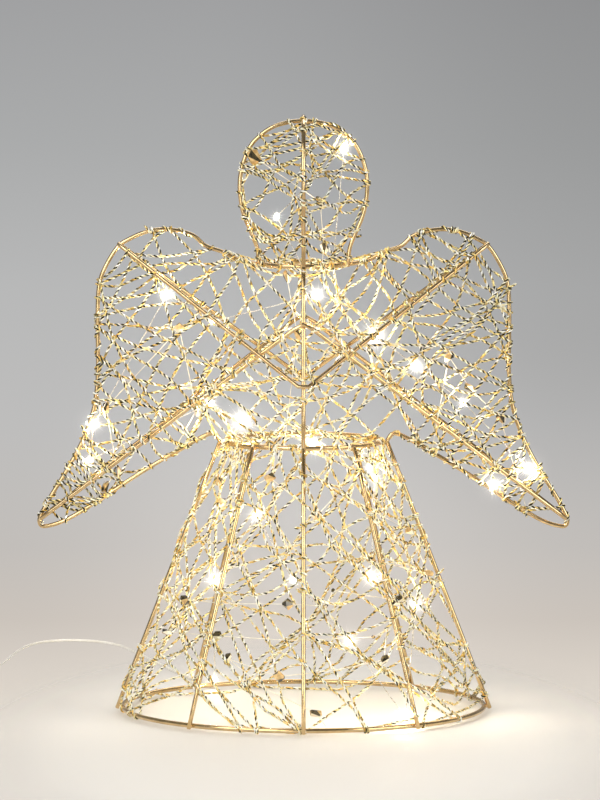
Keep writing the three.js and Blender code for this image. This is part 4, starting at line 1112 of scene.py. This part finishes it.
def faceted_bead(middle, heading, radius, dice):
    """A cut double cone: small flats round the hole and a sharp girdle of six corners."""
    heading = heading.normalized()
    across = heading.orthogonal().normalized()
    across.rotate(heading.to_track_quat("X", "Z"))
    beside = heading.cross(across)
    spin = dice.uniform(0, math.pi)
    vertices = []
    for along, wide in BEAD_PROFILE:
        for k in range(BEAD_CORNERS):
            turn = spin + k * math.pi / 3
            vertices.append(middle + heading * along * radius
                            + (across * math.cos(turn) + beside * math.sin(turn)) * wide * radius)
    return [tuple(v) for v in vertices], skin(len(BEAD_PROFILE), BEAD_CORNERS)


def cut_glass(name, light, dark, metallic):
    return drifting_finish(name, light, dark, gloss=(0.03, 0.10), bump=0.0, scale=330, grain=400,
                           IOR=1.6, Metallic=metallic, Coat_Weight=0.8)


# The amber and the bright tones are painted light and painted glints on the flats.
smoky_glass = cut_glass("smoky_glass", (0.12, 0.09, 0.04), (0.03, 0.025, 0.012), 0.3)
amber_lit_glass = cut_glass("amber_lit_glass", (0.92, 0.66, 0.32), (0.62, 0.40, 0.16), 0.25)
painted_glint_glass = cut_glass("painted_glint_glass", (1.0, 0.95, 0.80), (0.95, 0.82, 0.58), 0.1)
bead_yarn = drifting_finish(
    "bead_yarn", (0.98, 0.92, 0.78), (0.86, 0.78, 0.60), gloss=(0.4, 0.6), bump=0.3,
    scale=400, Metallic=0.2)
dice = random.Random(83)
for name, route in strands.items():
    beads, tints = [], []
    for i, (size, place) in enumerate(route):
        if size == PASS:
            continue
        heading = route[min(i + 1, len(route) - 1)][1] - route[max(i - 1, 0)][1]
        vertices, faces = faceted_bead(place, heading, size, dice)
        beads.append((vertices, faces))
        # Painted light: upper flats mostly dark smoke, lower flats mostly amber and bright glints.
        for face in faces:
            rise = sum(vertices[k][2] for k in face) / len(face) - place.z
            tints.append(dice.choice((0, 0, 0, 1) if rise > 0.1 * size else (0, 1, 1, 2, 2)))
    glass = add_piece(
        f"beads_{name}", beads, smoky_glass, [f"bead_strand_{name}"], smooth=False)
    give_tints(glass, [amber_lit_glass, painted_glint_glass], tints)
    line = even_line([place for _, place in route], 5 * MM)
    add_piece(f"bead_yarn_{name}", [tube_mesh(line, YARN, 6)], bead_yarn)


# Battery box: a moulded tray with a sliding cover, three cells on plated contacts, and the switch
# with its small board in a closed end. It lies beside the figure, out of the picture.
box_plastic = drifting_finish(
    "box_plastic", (0.84, 0.83, 0.80), (0.79, 0.78, 0.75), gloss=(0.38, 0.52), bump=0.5,
    scale=30, grain=2600, IOR=1.5)
cell_wrap = drifting_finish(
    "cell_wrap", (0.20, 0.27, 0.23), (0.15, 0.21, 0.18), gloss=(0.25, 0.4), bump=0.1,
    scale=50, Metallic=0.3)
plated_steel = drifting_finish(
    "plated_steel", (0.80, 0.80, 0.78), (0.66, 0.66, 0.64), gloss=(0.2, 0.36), bump=0.2,
    scale=140, Metallic=1.0)
green_board = drifting_finish(
    "green_board", (0.04, 0.20, 0.10), (0.03, 0.13, 0.06), gloss=(0.4, 0.6), bump=0.3, scale=220)
dark_plastic = drifting_finish(
    "dark_plastic", (0.045, 0.045, 0.045), (0.025, 0.025, 0.025), gloss=(0.4, 0.55), bump=0.4,
    grain=2600)
for material, names in (
        (box_plastic, ("battery_tray", "battery_cover", "lead_grommet")),
        (cell_wrap, ("cell_1", "cell_2", "cell_3")),
        (plated_steel, ("contact_bridge_front", "contact_spring_front", "contact_flat_rear",
                        "contact_bridge_rear")),
        (green_board, ("circuit_board",)),
        (dark_plastic, ("switch_body", "switch_knob"))):
    for name in names:
        dress(name, material)


# Table top: a pale painted board that the figure stands on, no part of the object. Round the
# figure and towards the front it is lighter, a painted pool of the small lamps' light, and darker
# further out. It fades out round the figure, so that the plain studio shows behind it and below.
TABLE_RADIUS = 0.75
RIM_POINTS = 96
FLOOR_FULL = 0.15
FLOOR_END = 0.26
LIGHT_POOL_FULL = 0.12
floor_mesh = bpy.data.meshes.new("table_top")
rim_turns = [2 * math.pi * k / RIM_POINTS for k in range(RIM_POINTS)]
rim = [(TABLE_RADIUS * math.cos(turn), TABLE_RADIUS * math.sin(turn), 0) for turn in rim_turns]
floor_mesh.from_pydata(rim, [], [list(range(RIM_POINTS))])
table = bpy.data.objects.new("table_top", floor_mesh)
scene.collection.objects.link(table)
table_paint_and_light_pool, tree, shader = new_material("table_paint_and_light_pool", Roughness=0.6, Specular_IOR_Level=0.2)
where = place_node(tree, "ShaderNodeTexCoord")
# The painted pool of light and the fade both follow this oval, which reaches further to the front.
oval = place_node(tree, "ShaderNodeVectorMath", {
    0: where.outputs["Object"], 1: (1.0, 0.45, 1.0), 2: (0.0, 0.0675, 0.0)}, operation="MULTIPLY_ADD")
from_middle = place_node(tree, "ShaderNodeVectorMath", {0: oval.outputs["Vector"]}, operation="LENGTH")
distance = from_middle.outputs["Value"]
fade = graded(tree, distance, FLOOR_FULL, FLOOR_END, 1.0, 0.0, "SMOOTHSTEP")
pool_spread = graded(tree, distance, LIGHT_POOL_FULL, FLOOR_END, 0.0, 1.0, "SMOOTHSTEP")
# Painted pool of light: the board is lighter near the figure and darker further out.
painted_light_pool = tone_ramp(tree, pool_spread, [(0.0, (0.76, 0.73, 0.68)), (1.0, (0.56, 0.53, 0.49))])
tree.links.new(painted_light_pool, shader.inputs["Base Color"])
tree.links.new(fade, shader.inputs["Alpha"])
floor_mesh.materials.append(table_paint_and_light_pool)


# Studio: a plain backdrop, pale near the table, greyer upwards and a little darker to the right,
# with a painted glow of the small lamps just behind the figure, and four large soft boxes that
# light the figure at a plain level.
studio = bpy.data.worlds.new("studio")
scene.world = studio
studio.use_nodes = True
tree = studio.node_tree
tree.nodes.clear()
path = place_node(tree, "ShaderNodeLightPath")
where = place_node(tree, "ShaderNodeTexCoord")
split = place_node(tree, "ShaderNodeSeparateXYZ", {"Vector": where.outputs["Generated"]})
sideways, ahead, up = (split.outputs[label] for label in "XYZ")
backdrop = tone_ramp(tree, graded(tree, up, -0.150, -0.020, 0.0, 1.0), [
    (0.0, (0.80, 0.74, 0.67)), (0.13, (0.72, 0.66, 0.59)), (0.21, (0.60, 0.55, 0.50)),
    (0.30, (0.54, 0.515, 0.49)), (0.45, (0.515, 0.51, 0.505)), (0.62, (0.48, 0.482, 0.482)),
    (0.80, (0.405, 0.41, 0.412)), (1.0, (0.35, 0.352, 0.358))])
darker_side = graded(tree, sideways, -0.02, 0.055, 1.0, 0.80, "SMOOTHSTEP")
high_up = graded(tree, up, -0.115, -0.075, 0.0, 1.0, "SMOOTHSTEP")
falloff = place_node(tree, "ShaderNodeMix", {0: high_up, 2: 1.0, 3: darker_side}, data_type="FLOAT")
off_centre = place_node(tree, "ShaderNodeVectorMath", {
    0: where.outputs["Generated"], 1: (0.0, 0.994, -0.110)}, operation="DISTANCE")
# Painted glow: up to 18 percent brighter just behind the figure, for the haze of the small lamps.
painted_lamp_halo = graded(tree, off_centre.outputs["Value"], 0.0, 0.05, 1.18, 1.0, "SMOOTHSTEP")
overhead = graded(tree, up, 0.0, 0.5, 1.0, 0.6, "SMOOTHSTEP")
dim_front = graded(tree, ahead, -0.6, 0.5, 0.8, 1.0, "SMOOTHSTEP")
brightness = falloff.outputs[0]
for share in (overhead, painted_lamp_halo, dim_front):
    product = place_node(tree, "ShaderNodeMath", {0: brightness, 1: share}, operation="MULTIPLY")
    brightness = product.outputs["Value"]
seen = path.outputs["Is Camera Ray"]
for ray in ("Is Glossy Ray", "Is Transmission Ray"):
    either = place_node(tree, "ShaderNodeMath", {0: seen, 1: path.outputs[ray]}, operation="MAXIMUM")
    seen = either.outputs["Value"]
room_light = place_node(tree, "ShaderNodeBackground", {"Color": (1.0, 0.98, 0.95, 1), "Strength": 0.5})
room_view = place_node(tree, "ShaderNodeBackground", {"Color": backdrop, "Strength": brightness})
room = place_node(tree, "ShaderNodeMixShader", {
    0: seen, 1: room_light.outputs[0], 2: room_view.outputs[0]})
place_node(tree, "ShaderNodeOutputWorld", {"Surface": room.outputs[0]})


def add_lamp(name, kind, place, power):
    lamp = bpy.data.objects.new(name, bpy.data.lights.new(name, kind))
    lamp.data.energy = power
    lamp.location = place
    scene.collection.objects.link(lamp)
    return lamp


SOFTBOX_AIM = Vector((0, 0, 0.2))
softboxes = [((-1.5, -1.7, 1.7), 1.8, 38), ((1.9, -1.5, 1.0), 1.6, 26),
             ((0.2, 1.6, 1.7), 1.6, 20), ((-0.8, -2.4, 0.45), 0.9, 10)]
for k, (place, size, power) in enumerate(softboxes):
    softbox = add_lamp(f"softbox_{k + 1}", "AREA", place, power)
    softbox.data.shape = "SQUARE"
    softbox.data.size = size
    softbox.rotation_euler = (SOFTBOX_AIM - Vector(place)).to_track_quat("-Z", "Y").to_euler()


# Small lamps: a warm light in each drop of resin, and a painted glow round it, faintly shining air
# in balls, one inside the other, and in fine rays, for the bloom and star rays round a bright lamp.
# The glow blocks nothing and is no part of the object.
LAMP_POWER = 0.34
for k, (place, size) in enumerate(lamps):
    lamp = add_lamp(f"small_lamp_{k + 1}", "POINT", place, LAMP_POWER * size**2)
    lamp.data.color = (1.0, 0.86, 0.62)
    lamp.data.shadow_soft_size = 1.9 * MM


def add_glow(name, parts, strength, colour):
    """Painted glow: faintly shining air in these closed forms. It blocks nothing."""
    mesh = joined_mesh(name, parts)
    air = bpy.data.materials.new(name)
    air.use_nodes = True
    air.node_tree.nodes.clear()
    shine = place_node(air.node_tree, "ShaderNodeEmission", {"Color": (*colour, 1), "Strength": strength})
    place_node(air.node_tree, "ShaderNodeOutputMaterial", {"Volume": shine.outputs[0]})
    mesh.materials.append(air)
    glow = bpy.data.objects.new(name, mesh)
    glow.visible_shadow = False
    glow.visible_diffuse = False
    scene.collection.objects.link(glow)


def ball(place, radius):
    """A round form for the glow, closed with small flats below and above."""
    rises = [math.pi * k / 12 for k in range(1, 12)]
    line = [place - UP * radius * math.cos(rise) for rise in rises]
    return tube_mesh(line, np.array([radius * math.sin(rise) for rise in rises]), 20)


GLOW_CORE = 2.8 * MM
GLOW_STRENGTH = 150
GLOW_STEPS = 8
GLOW_GROWTH = 1.27
GLOW_FALL = 3.5
for k in range(GLOW_STEPS):
    radius = GLOW_CORE * GLOW_GROWTH**k
    strength = GLOW_STRENGTH * GLOW_GROWTH ** (-GLOW_FALL * k)
    warmth = k / (GLOW_STEPS - 1)
    add_glow(f"glow_{k + 1}", [ball(place, radius * size) for place, size in lamps], strength,
             (1.0, 0.97 - 0.04 * warmth, 0.90 - 0.12 * warmth))

RAYS_PER_LAMP = 26
RAY_RADII = np.array([0.5, 0.28, 0.05]) * MM
RAY_STRENGTH = 500
dice = random.Random(97)
rays = []
for place, size in lamps:
    for _ in range(RAYS_PER_LAMP):
        heading = Vector((dice.gauss(0, 1), dice.gauss(0, 0.4), dice.gauss(0, 1))).normalized()
        reach = size * dice.uniform(6, 13) * MM
        line = [place, place + heading * reach * 0.5, place + heading * reach]
        rays.append(tube_mesh(line, RAY_RADII, 4))
add_glow("glow_rays", rays, RAY_STRENGTH, (1.0, 0.96, 0.88))


scene.view_settings.view_transform = "Standard"
